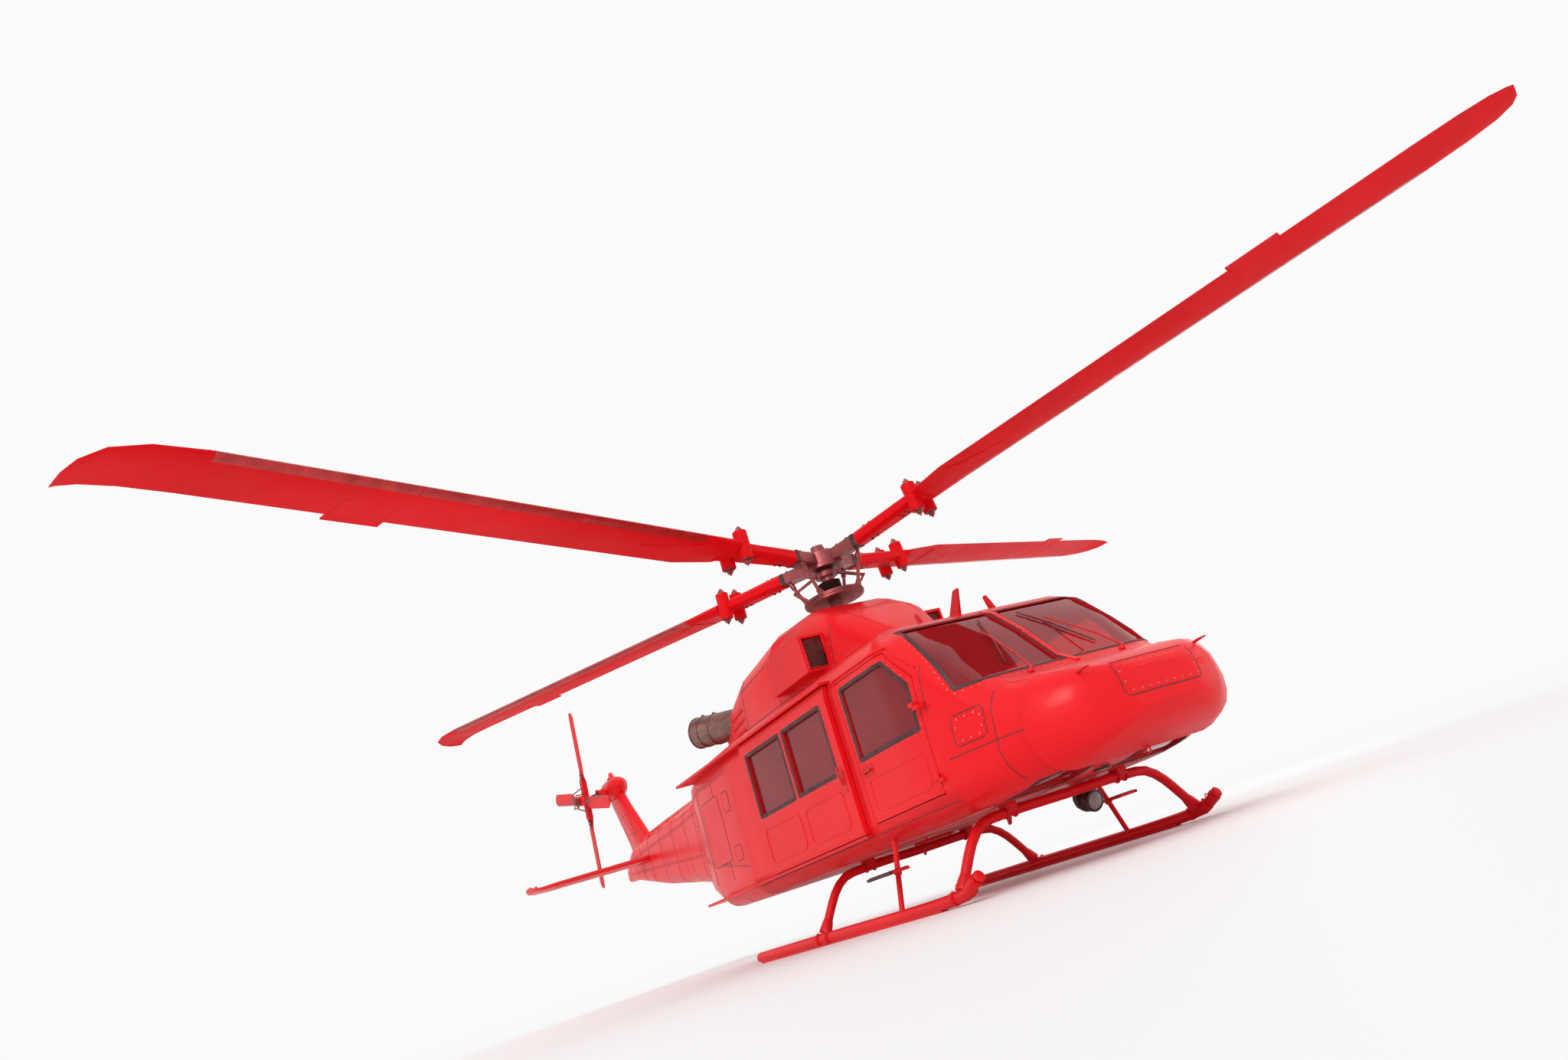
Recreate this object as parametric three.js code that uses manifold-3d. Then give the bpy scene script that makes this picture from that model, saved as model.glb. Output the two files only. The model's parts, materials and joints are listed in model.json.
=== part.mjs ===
// A utility helicopter with a four-blade main rotor, a four-blade tail rotor and skids.
// Millimetres, +X towards the nose, +Y to port, +Z up, the skids standing on z = 0.
// Lengths along the body are counted from the mast axis, which stands at MAST_X in the part's frame.
import * as THREE from "three";
import { mergeVertices } from "three/addons/utils/BufferGeometryUtils.js";
import Module from "manifold-3d";

const wasm = await Module();
wasm.setup();

// Driving dimensions
const MAST_X = 1698.4;
const ROTOR_RADIUS = 7440;
const HUB_Z = 3750;
const CONING = THREE.MathUtils.degToRad(4);
const FIRST_BLADE = THREE.MathUtils.degToRad(25);
const BLADES = 4;
const TAIL_ROTOR_RADIUS = 1485;
const TAIL_HUB = { x: -8860, y: -450, z: 3250 };
const TAIL_BLADE_LEAN = THREE.MathUtils.degToRad(12);
const WALL = 50;
const SEAT_GAP = 0.3;
const DOOR_GAP = 8;
const FLOOR_Z = 820;
const DECK_Z = 2330;
const CABIN_REAR = -1360;
const NOSE_SPLIT = { x: 2700, z: 1440 };
const BOOM_FRONT = -3900;
const CANOPY_FRONT = 2150;
const SKID = { y: 1330, z: 60, radius: 50, toe: 2700, heel: -1650 };
const CROSS_TUBES = { front: 2450, rear: -50 };
const TUBE_RADIUS = 42;

// Colours as [colour, roughness, metalness]
const PAINT = [0xd61c20, 0.35, 0.1];
const DARK_PAINT = [0x2a2627, 0.6, 0.1];
const METAL = [0x8a8c90, 0.4, 0.9];
const BURNT_METAL = [0x5a4a42, 0.5, 0.8];
const GLASS = [0x2c1416, 0.08, 0.0];
const CLOTH = [0x35302f, 0.9, 0.0];
const LAMP_RED = [0xff3020, 0.2, 0.0];

// Sections of the body, tail to nose
const BODY_COLUMNS = ["x", "half", "lean", "bottom", "top", "lowerRadius", "upperRadius"];
const BODY = [
  [-8980, 90, 5, 1735, 1945, 60, 60],
  [-8800, 120, 10, 1720, 2040, 75, 75],
  [-8450, 150, 10, 1695, 2165, 90, 90],
  [-8150, 200, 15, 1640, 2205, 120, 110],
  [-6800, 300, 20, 1380, 2220, 170, 160],
  [-5200, 420, 30, 1160, 2240, 220, 200],
  [BOOM_FRONT, 600, 40, 960, 2275, 270, 250],
  [-3250, 980, 50, 760, DECK_Z, 280, 270],
  [-2600, 1180, 50, 645, DECK_Z, 250, 290],
  [-1700, 1250, 40, 622, DECK_Z, 230, 300],
  [CABIN_REAR, 1270, 40, 620, DECK_Z, 220, 300],
  [CANOPY_FRONT, 1270, 40, 620, DECK_Z, 220, 300],
  [2420, 1262, 60, 622, 2215, 230, 320],
  [2700, 1235, 70, 630, 1960, 250, 330],
  [3020, 1165, 50, 650, 1610, 270, 320],
  [3250, 1060, 30, 685, 1480, 290, 330],
  [3475, 940, 21, 715, 1435, 300, 330],
  [3495, 1010, 20, 660, 1432, 330, 330],
  [3750, 870, 10, 720, 1375, 290, 275],
  [3920, 640, 0, 815, 1300, 210, 205],
  [4000, 360, 0, 920, 1215, 125, 115],
];
// The frame behind the radome, and the hole through it
const RADOME_FRAME = { rear: 3400, front: 3540, holeHalf: 400, holeBottom: 850, holeTop: 1200 };

// Sections of the cowling on the roof deck, tail to nose: x, half width, top, corner radius
const COWLING = [
  [-3050, 370, 2570, 150],
  [-2500, 600, 2850, 250],
  [-1500, 765, 3080, 330],
  [-450, 800, 3190, 350],
  [250, 750, 3170, 340],
  [750, 610, 2930, 280],
  [1150, 390, 2610, 150],
  [1400, 210, 2430, 50],
];
const COWLING_HOLLOW = { rear: -2980, front: 1320, below: 100 };

// Helpers
function solid(geometry) {
  const bare = geometry.clone();
  bare.deleteAttribute("normal");
  bare.deleteAttribute("uv");
  const merged = mergeVertices(bare, 1e-3);
  return new wasm.Manifold(
    new wasm.Mesh({
      numProp: 3,
      vertProperties: new Float32Array(merged.attributes.position.array),
      triVerts: new Uint32Array(merged.index.array),
    }),
  );
}

function geometryOf(made) {
  const mesh = made.getMesh();
  const geometry = new THREE.BufferGeometry();
  geometry.setAttribute("position", new THREE.BufferAttribute(mesh.vertProperties, 3));
  geometry.setIndex(new THREE.BufferAttribute(mesh.triVerts, 1));
  geometry.computeVertexNormals();
  return geometry;
}

function union(...parts) {
  return parts.reduce((sum, part) => sum.add(part));
}

function box(low, high) {
  const size = high.map((value, i) => value - low[i]);
  const geometry = new THREE.BoxGeometry(...size);
  geometry.translate(...high.map((value, i) => (value + low[i]) / 2));
  return solid(geometry);
}

// Everything between two places along the body, or also between two heights
const FAR = 20000;
function slab(x0, x1, z0 = -FAR, z1 = FAR) {
  return box([x0, -FAR, z0], [x1, FAR, z1]);
}

// A closed skin through rings of points that all have the same count; flat holds the ring's own 2-D points.
function loft(rings) {
  const count = rings[0].flat.length;
  const positions = rings.flatMap((ring) => ring.placed.flat());
  const index = [];
  for (let i = 0; i + 1 < rings.length; i++) {
    for (let j = 0; j < count; j++) {
      const a = i * count + j;
      const b = i * count + ((j + 1) % count);
      index.push(a, b, b + count, a, b + count, a + count);
    }
  }
  const last = (rings.length - 1) * count;
  // The end faces turn the same way as their ring, and the first one looks back.
  const capOf = (ring) => {
    const contour = ring.flat.map(([p, q]) => new THREE.Vector2(p, q));
    const ringTurn = Math.sign(THREE.ShapeUtils.area(contour));
    return THREE.ShapeUtils.triangulateShape([...contour], []).map((face) => {
      const faceTurn = Math.sign(THREE.ShapeUtils.area(face.map((k) => contour[k])));
      return faceTurn === ringTurn ? face : [...face].reverse();
    });
  };
  for (const [a, b, c] of capOf(rings[0])) index.push(a, c, b);
  for (const [a, b, c] of capOf(rings.at(-1))) index.push(a + last, b + last, c + last);
  const geometry = new THREE.BufferGeometry();
  geometry.setAttribute("position", new THREE.Float32BufferAttribute(positions, 3));
  geometry.setIndex(index);
  const made = solid(geometry);
  if (made.volume() >= 0) return made;
  geometry.setIndex(index.map((_, k) => index[k - (k % 3) + (2 - (k % 3))]));
  return solid(geometry);
}

// A prism whose outline lies in the plane across one axis, from one place on that axis to another.
const AXES = {
  x: (p, q, along) => [along, p, q],
  y: (p, q, along) => [p, along, q],
  z: (p, q, along) => [p, q, along],
};
function prism(axis, outline, from, to) {
  const ring = (along) => ({ flat: outline, placed: outline.map(([p, q]) => AXES[axis](p, q, along)) });
  return loft([ring(from), ring(to)]);
}

// The outline moved inwards by a gap on every side; it runs round the shape in either sense.
function inset(outline, gap) {
  const points = outline.map(([p, q]) => new THREE.Vector2(p, q));
  const sign = THREE.ShapeUtils.isClockWise(points) ? -1 : 1;
  return points.map((point, i) => {
    const before = points[(i + points.length - 1) % points.length];
    const after = points[(i + 1) % points.length];
    const inward = (from, to) => new THREE.Vector2(from.y - to.y, to.x - from.x).normalize();
    const n1 = inward(before, point).multiplyScalar(sign);
    const n2 = inward(point, after).multiplyScalar(sign);
    const bisector = n1.clone().add(n2);
    bisector.multiplyScalar(gap / (1 + n1.dot(n2)));
    return [point.x + bisector.x, point.y + bisector.y];
  });
}

function cylinder(radius, from, to, sides = 16, endRadius = radius) {
  const start = new THREE.Vector3(...from);
  const along = new THREE.Vector3(...to).sub(start);
  const geometry = new THREE.CylinderGeometry(endRadius, radius, along.length(), sides);
  geometry.translate(0, along.length() / 2, 0);
  const turn = new THREE.Quaternion();
  turn.setFromUnitVectors(new THREE.Vector3(0, 1, 0), along.clone().normalize());
  geometry.applyQuaternion(turn);
  geometry.translate(...from);
  return solid(geometry);
}

// A round tube along a list of points, straight between them apart from rounded turns.
function tube(radius, points, steps, sides = 12) {
  const stops = points.map((point) => new THREE.Vector3(...point));
  const path = new THREE.CatmullRomCurve3(stops, false, "centripetal");
  const circle = new THREE.Shape();
  circle.absarc(0, 0, radius, 0, 2 * Math.PI, false);
  return solid(new THREE.ExtrudeGeometry(circle, { extrudePath: path, steps, curveSegments: sides / 2 }));
}

function turned(made, axis, angle) {
  const geometry = geometryOf(made);
  geometry.applyMatrix4(new THREE.Matrix4().makeRotationAxis(new THREE.Vector3(...axis), angle));
  return solid(geometry);
}

function moved(made, x, y, z) {
  const geometry = geometryOf(made);
  geometry.translate(x, y, z);
  return solid(geometry);
}

const mirrored = (outline) => outline.map(([p, q]) => [-p, q]);

const ARC_STEPS = 4;
// A round-cornered outline of [y, z] points, symmetric about y = 0, its sides leaning in towards the top.
function roundSection(half, lean, bottom, top, lowerRadius, upperRadius) {
  const side = [];
  const addCorner = (y, z, radius, startAngle) => {
    for (let k = 0; k <= ARC_STEPS; k++) {
      const angle = startAngle + (k / ARC_STEPS) * (Math.PI / 2);
      side.push([y + radius * Math.cos(angle), z + radius * Math.sin(angle)]);
    }
  };
  addCorner(half - lowerRadius, bottom + lowerRadius, lowerRadius, -Math.PI / 2);
  addCorner(half - lean - upperRadius, top - upperRadius, upperRadius, 0);
  return [...side, ...mirrored(side).reverse()];
}

const MIN_CORNER = 20;
const bodySections = BODY.map((row) => Object.fromEntries(BODY_COLUMNS.map((name, i) => [name, row[i]])));

// The body's half width at the foot of its side, at any place along it.
function halfAt(x) {
  const next = bodySections.findIndex((section) => section.x >= x);
  const [a, b] = [bodySections[next - 1], bodySections[next]];
  return THREE.MathUtils.mapLinear(x, a.x, b.x, a.half, b.half);
}

// The whole body as one solid, its skin moved in by an inset, or out where that is below zero.
function bodySolid(inward) {
  const rings = bodySections.map((section) => {
    const shift = section.x > CANOPY_FRONT ? inward : section.x === BODY[0][0] ? -inward : 0;
    const flat = roundSection(
      section.half - inward,
      section.lean,
      section.bottom + inward,
      section.top - inward,
      Math.max(section.lowerRadius - inward, MIN_CORNER),
      Math.max(section.upperRadius - inward, MIN_CORNER),
    );
    return { flat, placed: flat.map(([y, z]) => [section.x - shift, y, z]) };
  });
  return loft(rings);
}

function radomeFrame() {
  const { rear, front, holeHalf, holeBottom, holeTop } = RADOME_FRAME;
  return slab(rear, front).subtract(box([rear - 1, -holeHalf, holeBottom], [front + 1, holeHalf, holeTop]));
}

// Cover over the tail drive shaft: x, top; it runs along the boom from the cowling to the foot of the fin.
const COVER_HALF = 95;
const COVER = [
  [-7720, 2290],
  [-6800, 2315],
  [-5200, 2345],
  [BOOM_FRONT, 2385],
  [-3070, 2440],
];
const COVER_DEPTH = 230;
const COVER_CHAMFER = 40;
function coverSolid(spare = 0) {
  const rings = COVER.map(([x, z], i) => {
    const [half, top] = [COVER_HALF + spare, z + spare];
    const side = [[half, top - COVER_DEPTH], [half, top - COVER_CHAMFER], [half - COVER_CHAMFER, top]];
    const flat = [...side, ...mirrored(side).reverse()];
    const end = i === 0 ? x - spare : x;
    return { flat, placed: flat.map(([y, up]) => [end, y, up]) };
  });
  return loft(rings);
}
const driveshaftCover = coverSolid();
const coverClear = coverSolid(SEAT_GAP);

const bodyOuter = bodySolid(0);
const bodyInner = bodySolid(WALL).subtract(radomeFrame());
const bodyClear = bodySolid(-SEAT_GAP);
const bodyShell = bodyOuter.subtract(bodyInner);
const GLASS_DEPTH = { outer: 14, inner: 26 };
const glassShell = bodySolid(GLASS_DEPTH.outer).subtract(bodySolid(GLASS_DEPTH.inner));

// Door and window outlines in the side view, as [x, z]
const CREW_DOOR = [[1450, FLOOR_Z + 10], [2592, FLOOR_Z + 10], [2592, 1800], [2300, 2112], [1450, 2112]];
const CREW_WINDOW = [[1540, 1400], [2500, 1400], [2500, 1760], [2262, 2020], [1540, 2020]];
const CABIN_DOORWAY = { rear: -750, front: 1250, bottom: FLOOR_Z + 10, top: 2112 };
const SLIDING_DOOR = { rear: -800, front: 1300, bottom: 785, top: 2150, travel: 1850 };
const SLIDING_DOOR_SKIN = { inner: 6, outer: 52 };
const DOOR_WINDOWS = [
  { rear: -640, front: 190 },
  { rear: 310, front: 1140 },
];
const DOOR_WINDOW_Z = { bottom: 1380, top: 1990 };
const RAIL = { rear: -2720, front: 1330, depth: 1140, rearDepth: 860, face: 1325, upperFace: 1305 };
const RAIL_SIZE = { thickness: 26, clear: 10 };
const WINDSCREEN = [[40, 1570], [1050, 1570], [960, 2240], [40, 2240]];
const CHIN_WINDOW = [[2830, 280], [3430, 280], [3430, 520], [3200, 800], [2830, 860]];

// Raised pads that other equipment bolts to, each as low corner and high corner
const HOIST_PAD = { low: [1150, -850, DECK_Z - WALL / 2], high: [1450, -550, DECK_Z + 20] };
const HOOK_PAD = { low: [120, -150, 600], high: [420, 150, 640] };
const FREIGHT_PLATE = { low: [-700, -900, FLOOR_Z - 10], high: [1300, 900, FLOOR_Z + 6] };

const rectangle = (x0, x1, z0, z1) => [[x0, z0], [x1, z0], [x1, z1], [x0, z1]];
const SIDES = [
  { name: "left", sign: 1 },
  { name: "right", sign: -1 },
];

// Prisms through one side of the body, through the canopy's front and through the belly
const SIDE_REACH = { inner: 600, outer: 1600 };
const FRONT_REACH = { rear: 2250, front: 3700 };
const BELLY_REACH = { low: 0, high: 1000 };
const sorted = (a, b) => [Math.min(a, b), Math.max(a, b)];
function throughSide(outline, sign) {
  return prism("y", outline, ...sorted(sign * SIDE_REACH.inner, sign * SIDE_REACH.outer));
}
const throughFront = (outline) => prism("x", outline, FRONT_REACH.rear, FRONT_REACH.front);
const throughBelly = (outline) => prism("z", outline, BELLY_REACH.low, BELLY_REACH.high);
const windscreenOutline = (sign) => (sign > 0 ? WINDSCREEN : mirrored(WINDSCREEN));
const chinOutline = (sign) => CHIN_WINDOW.map(([x, y]) => [x, sign * y]);

function rails(x0, x1) {
  const { thickness, clear } = RAIL_SIZE;
  const heights = [SLIDING_DOOR.top + clear, SLIDING_DOOR.bottom - clear - thickness];
  return SIDES.flatMap(({ sign }) =>
    heights.map((z, i) => {
      const inner = x1 < CABIN_REAR ? RAIL.rearDepth : RAIL.depth;
      const face = i === 0 ? RAIL.upperFace : RAIL.face;
      const [y0, y1] = sorted(sign * inner, sign * face);
      return box([x0, y0, z], [x1, y1, z + thickness]);
    }),
  );
}

function cabinShell() {
  let shell = bodyOuter.subtract(bodyInner.intersect(slab(CABIN_REAR + WALL, FAR)));
  shell = shell.intersect(slab(CABIN_REAR, FAR, FLOOR_Z + SEAT_GAP));
  shell = shell.subtract(slab(NOSE_SPLIT.x - SEAT_GAP, FAR, -FAR, NOSE_SPLIT.z + SEAT_GAP));
  const topRails = rails(CABIN_REAR, RAIL.front).filter((rail) => rail.boundingBox().min[2] > FLOOR_Z);
  shell = union(shell, ...topRails.map((rail) => rail.subtract(bodyInner)));
  const doorway = rectangle(CABIN_DOORWAY.rear, CABIN_DOORWAY.front, CABIN_DOORWAY.bottom, CABIN_DOORWAY.top);
  for (const { sign } of SIDES) {
    shell = shell.subtract(throughSide(CREW_DOOR, sign));
    shell = shell.subtract(throughSide(doorway, sign));
    shell = shell.subtract(throughFront(windscreenOutline(sign)));
    shell = shell.add(hingeLeaves(sign, false));
  }
  return shell.add(box(HOIST_PAD.low, HOIST_PAD.high));
}

// Crew door hinges: coaxial knuckles, the frame's below the door's, each with a bridge to its pad on the skin
const HINGE = { x: 2596, clear: 16, radius: 14, heights: [960, 1560], tall: 34, between: 0.4 };
const HINGE_LEAF = { near: 13, far: 60, pad: 75, bridge: 7, lap: 18 };
const hingeY = (sign) => sign * (halfAt(HINGE.x) + HINGE.clear);
function hingeLeaves(sign, onDoor) {
  const y = hingeY(sign);
  const { near, far, pad, bridge, lap } = HINGE_LEAF;
  const [pad0, pad1] = sorted(y - sign * pad, y + sign * bridge);
  return union(
    ...HINGE.heights.flatMap((z) => {
      const low = onDoor ? z + HINGE.between : z - HINGE.tall;
      const turn = onDoor ? -1 : 1;
      const [x0, x1] = sorted(HINGE.x + turn * near, HINGE.x + turn * far);
      const [x2, x3] = sorted(HINGE.x, HINGE.x + turn * lap);
      return [
        cylinder(HINGE.radius, [HINGE.x, y, low], [HINGE.x, y, low + HINGE.tall]),
        box([x2, y - bridge, low], [x3, y + bridge, low + HINGE.tall]),
        box([x0, pad0, low], [x1, pad1, low + HINGE.tall]),
      ];
    }),
  );
}

function noseShell() {
  let shell = bodyShell.intersect(slab(NOSE_SPLIT.x, FAR, -FAR, NOSE_SPLIT.z));
  for (const { sign } of SIDES) shell = shell.subtract(throughBelly(chinOutline(sign)));
  return shell;
}

function cabinFloor() {
  const floor = bodyOuter.intersect(slab(CABIN_REAR, NOSE_SPLIT.x - SEAT_GAP, -FAR, FLOOR_Z));
  const lowRails = rails(CABIN_REAR, RAIL.front).filter((rail) => rail.boundingBox().min[2] < FLOOR_Z);
  const pads = [HOOK_PAD, FREIGHT_PLATE].map(({ low, high }) => box(low, high));
  return union(floor, ...lowRails, ...pads);
}

function aftFuselage() {
  const shell = union(bodyShell, driveshaftCover.subtract(bodyInner));
  const rear = rails(RAIL.rear, CABIN_REAR - SEAT_GAP).map((rail) => rail.subtract(bodyInner));
  return union(shell.intersect(slab(BOOM_FRONT, CABIN_REAR - SEAT_GAP)), ...rear);
}

function tailBoom() {
  return union(bodyShell, driveshaftCover.subtract(bodyInner)).intersect(slab(-FAR, BOOM_FRONT - SEAT_GAP));
}

function crewDoor(sign) {
  let door = bodyShell.intersect(throughSide(inset(CREW_DOOR, DOOR_GAP), sign));
  door = door.subtract(throughSide(CREW_WINDOW, sign));
  return door.add(hingeLeaves(sign, true).subtract(bodyInner));
}

const DOOR_HANGER = { y: 1240, radius: 12, inset: 160, low: 2120, top: SLIDING_DOOR.top + 9.5 };
const DOOR_PANE = { margin: 40, outer: 24, inner: 14 };
const paneOutline = (gap) => {
  const margin = DOOR_PANE.margin - gap;
  const [rear, front] = [DOOR_WINDOWS[0].rear - margin, DOOR_WINDOWS[1].front + margin];
  return rectangle(rear, front, DOOR_WINDOW_Z.bottom - margin, DOOR_WINDOW_Z.top + margin);
};
// One long pane lies in a pocket of the door, behind both of its windows; spare makes the pocket wider.
function slidingDoorPane(sign, spare) {
  const skin = bodySolid(-DOOR_PANE.outer - spare).subtract(bodySolid(-DOOR_PANE.inner + spare));
  return skin.intersect(throughSide(paneOutline(SEAT_GAP - spare), sign));
}

function slidingDoor(sign) {
  const { rear, front, bottom, top } = SLIDING_DOOR;
  const skin = bodySolid(-SLIDING_DOOR_SKIN.outer).subtract(bodySolid(-SLIDING_DOOR_SKIN.inner));
  let door = skin.intersect(throughSide(rectangle(rear, front, bottom, top), sign));
  for (const pane of DOOR_WINDOWS) {
    const outline = rectangle(pane.rear, pane.front, DOOR_WINDOW_Z.bottom, DOOR_WINDOW_Z.top);
    door = door.subtract(throughSide(outline, sign));
  }
  const y = sign * DOOR_HANGER.y;
  for (const x of [rear + DOOR_HANGER.inset, front - DOOR_HANGER.inset]) {
    door = door.add(cylinder(DOOR_HANGER.radius, [x, y, DOOR_HANGER.low], [x, y, DOOR_HANGER.top], 12));
  }
  return door.subtract(slidingDoorPane(sign, SEAT_GAP));
}

// Cowling shell on the deck, its underside open
const COWLING_LEAN = 40;
function cowlingSolid(inward, bottom) {
  return loft(
    COWLING.map(([x, half, top, radius]) => {
      const upperRadius = Math.max(radius - inward, MIN_CORNER);
      const flat = roundSection(half - inward, COWLING_LEAN, bottom, top - inward, MIN_CORNER, upperRadius);
      return { flat, placed: flat.map(([y, z]) => [x, y, z]) };
    }),
  );
}

const COWLING_SKIN = 30;
const COWLING_SPLIT = -450;
const INTAKE = { rear: -350, front: 520, inner: 600, outer: 900, bottom: 2480, top: 2860 };
const INTAKE_DUCT = { skin: 25, depth: 550 };
const EXHAUST = { radius: 190, from: [-2150, 380, 2650], to: [-2980, 690, 2800] };
// The bore starts and ends at these shares of the pipe's length.
const EXHAUST_BORE = { radius: 160, from: 0.25, to: 1.01 };
const MAST_HOLE = 180;

const exhaustAxis = (sign) => [EXHAUST.from, EXHAUST.to].map(([x, y, z]) => [x, sign * y, z]);

function cowlings() {
  let shell = cowlingSolid(0, DECK_Z + SEAT_GAP);
  const { rear, front, below } = COWLING_HOLLOW;
  const hollow = cowlingSolid(COWLING_SKIN, DECK_Z - below).intersect(slab(rear, front));
  for (const { sign } of SIDES) {
    const [y0, y1] = sorted(sign * INTAKE.inner, sign * INTAKE.outer);
    shell = shell.add(box([INTAKE.rear, y0, INTAKE.bottom], [INTAKE.front, y1, INTAKE.top]));
  }
  shell = shell.subtract(hollow);
  for (const { sign } of SIDES) {
    const { skin, depth } = INTAKE_DUCT;
    const [y0, y1] = sorted(sign * (INTAKE.inner + skin), sign * (INTAKE.outer - skin));
    const low = [INTAKE.front - depth, y0, INTAKE.bottom + skin];
    shell = shell.subtract(box(low, [INTAKE.front + 10, y1, INTAKE.top - skin]));
    const [from, to] = exhaustAxis(sign).map((point) => new THREE.Vector3(...point));
    const before = from.clone().addScaledVector(from.clone().sub(to).normalize(), SEAT_GAP).toArray();
    shell = shell.subtract(cylinder(EXHAUST.radius + SEAT_GAP, before, to.toArray(), 24));
  }
  shell = shell.subtract(cylinder(MAST_HOLE, [0, 0, DECK_Z], [0, 0, HUB_Z], 24));
  return {
    front: shell.intersect(slab(COWLING_SPLIT + SEAT_GAP, FAR)),
    rear: shell.intersect(slab(-FAR, COWLING_SPLIT)),
  };
}

function exhaust(sign) {
  const [from, to] = exhaustAxis(sign);
  const start = new THREE.Vector3(...from);
  const along = new THREE.Vector3(...to).sub(start);
  const inside = start.clone().addScaledVector(along, EXHAUST_BORE.from).toArray();
  const beyond = start.clone().addScaledVector(along, EXHAUST_BORE.to).toArray();
  return cylinder(EXHAUST.radius, from, to, 24).subtract(cylinder(EXHAUST_BORE.radius, inside, beyond, 24));
}

// Tail surfaces
function lens(chordStart, chordEnd, thickness, cornerShare = 0.25) {
  const chord = chordEnd - chordStart;
  const at = (share) => chordStart + chord * share;
  return [
    [at(0), 0],
    [at(0.04), thickness * 0.3],
    [at(cornerShare), thickness * 0.5],
    [at(0.6), thickness * 0.38],
    [at(1), thickness * 0.06],
    [at(1), -thickness * 0.06],
    [at(0.6), -thickness * 0.38],
    [at(cornerShare), -thickness * 0.5],
    [at(0.04), -thickness * 0.3],
  ];
}

// Fin sections: z, leading edge, trailing edge, thickness
const FIN = [
  [1900, -7500, -8560, 200],
  [2350, -7780, -8700, 190],
  [2900, -8240, -8980, 170],
  [3250, -8480, -9150, 160],
  [3420, -8620, -9120, 130],
];
function finSolid(spare) {
  return loft(
    FIN.map(([z, front, back, thickness], i) => {
      const flat = lens(front + spare, back - spare, thickness + 2 * spare);
      const height = i === FIN.length - 1 ? z + spare : z;
      return { flat, placed: flat.map(([x, y]) => [x, y, height]) };
    }),
  );
}

// Stabiliser sections: y, leading edge, trailing edge, thickness, height
const STABILISER = [
  [100, -7250, -8030, 110, 1900],
  [1750, -7250, -8030, 90, 1900],
  [1930, -7300, -8020, 70, 1905],
  [2030, -7420, -7990, 50, 1925],
  [2070, -7560, -7930, 30, 1980],
];
function stabiliser(sign) {
  const rings = STABILISER.map(([y, front, back, thickness, z]) => {
    const flat = lens(front, back, thickness);
    return { flat, placed: flat.map(([x, up]) => [x, sign * y, z + up]) };
  });
  return loft(rings).subtract(bodyClear);
}

// Landing gear
// Along the skid as [distance behind the toe, rise]; it is straight from the heel to where the toe turns up.
const TOE = [[470, 0], [160, 22], [0, 95]];
function skidTube(sign, radius) {
  const y = sign * SKID.y;
  const points = [
    [SKID.heel, y, SKID.z],
    [0, y, SKID.z],
    ...TOE.map(([behind, rise]) => [SKID.toe - behind, y, SKID.z + rise]),
  ];
  return tube(radius, points, 22);
}

const STEP = { x: 1480, z: 400, halfLong: 210, halfWide: 95, thick: 24, strut: 24, strutTop: [1140, 760] };
const SHOE = { rear: SKID.heel + 50, front: SKID.toe - 560, half: 32, thick: 20 };
function skid(sign) {
  const y = sign * SKID.y;
  const { x, z, halfLong, halfWide, thick, strutTop } = STEP;
  const strut = cylinder(STEP.strut, [x, y, SKID.z], [x, sign * strutTop[0], strutTop[1]]);
  return union(
    skidTube(sign, SKID.radius),
    box([SHOE.rear, y - SHOE.half, 0], [SHOE.front, y + SHOE.half, SHOE.thick]),
    strut.subtract(bodyClear),
    box([x - halfLong, y - halfWide, z], [x + halfLong, y + halfWide, z + thick]),
  );
}

const SADDLE = { y: 620, half: 45, wide: 130, bottom: 560, top: 640 };
// Half of a cross tube as [y, z]: level under the belly, then down to the skid
const CROSS_TUBE = [[0, 560], [640, 560], [920, 535], [1060, 440], [1200, 265], [SKID.y - 6, 85]];
function crossTube(x) {
  const half = CROSS_TUBE.map(([y, z]) => [x, y, z]);
  const points = [...half.slice(1).reverse().map(([along, y, z]) => [along, -y, z]), ...half];
  let made = tube(TUBE_RADIUS, points, 30);
  for (const { sign } of SIDES) {
    made = made.subtract(skidTube(sign, SKID.radius + SEAT_GAP));
    const y = sign * SADDLE.y;
    const low = [x - SADDLE.wide / 2, y - SADDLE.half, SADDLE.bottom];
    made = made.add(box(low, [x + SADDLE.wide / 2, y + SADDLE.half, SADDLE.top]));
  }
  return made.subtract(bodyClear);
}

// Main rotor
// Blade sections: radius, leading edge, trailing edge, thickness, height; the pitch axis is at zero
const BLADE = [
  [1500, 150, -300, 130, 0],
  [1950, 180, -420, 75, 0],
  [6700, 180, -420, 66, 0],
  [7050, 150, -425, 55, -6],
  [7280, 60, -440, 42, -24],
  [7400, -90, -455, 26, -50],
  [ROTOR_RADIUS, -240, -460, 14, -66],
];
const BLADE_ROOT_TRAIL = BLADE[1][2];
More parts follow.
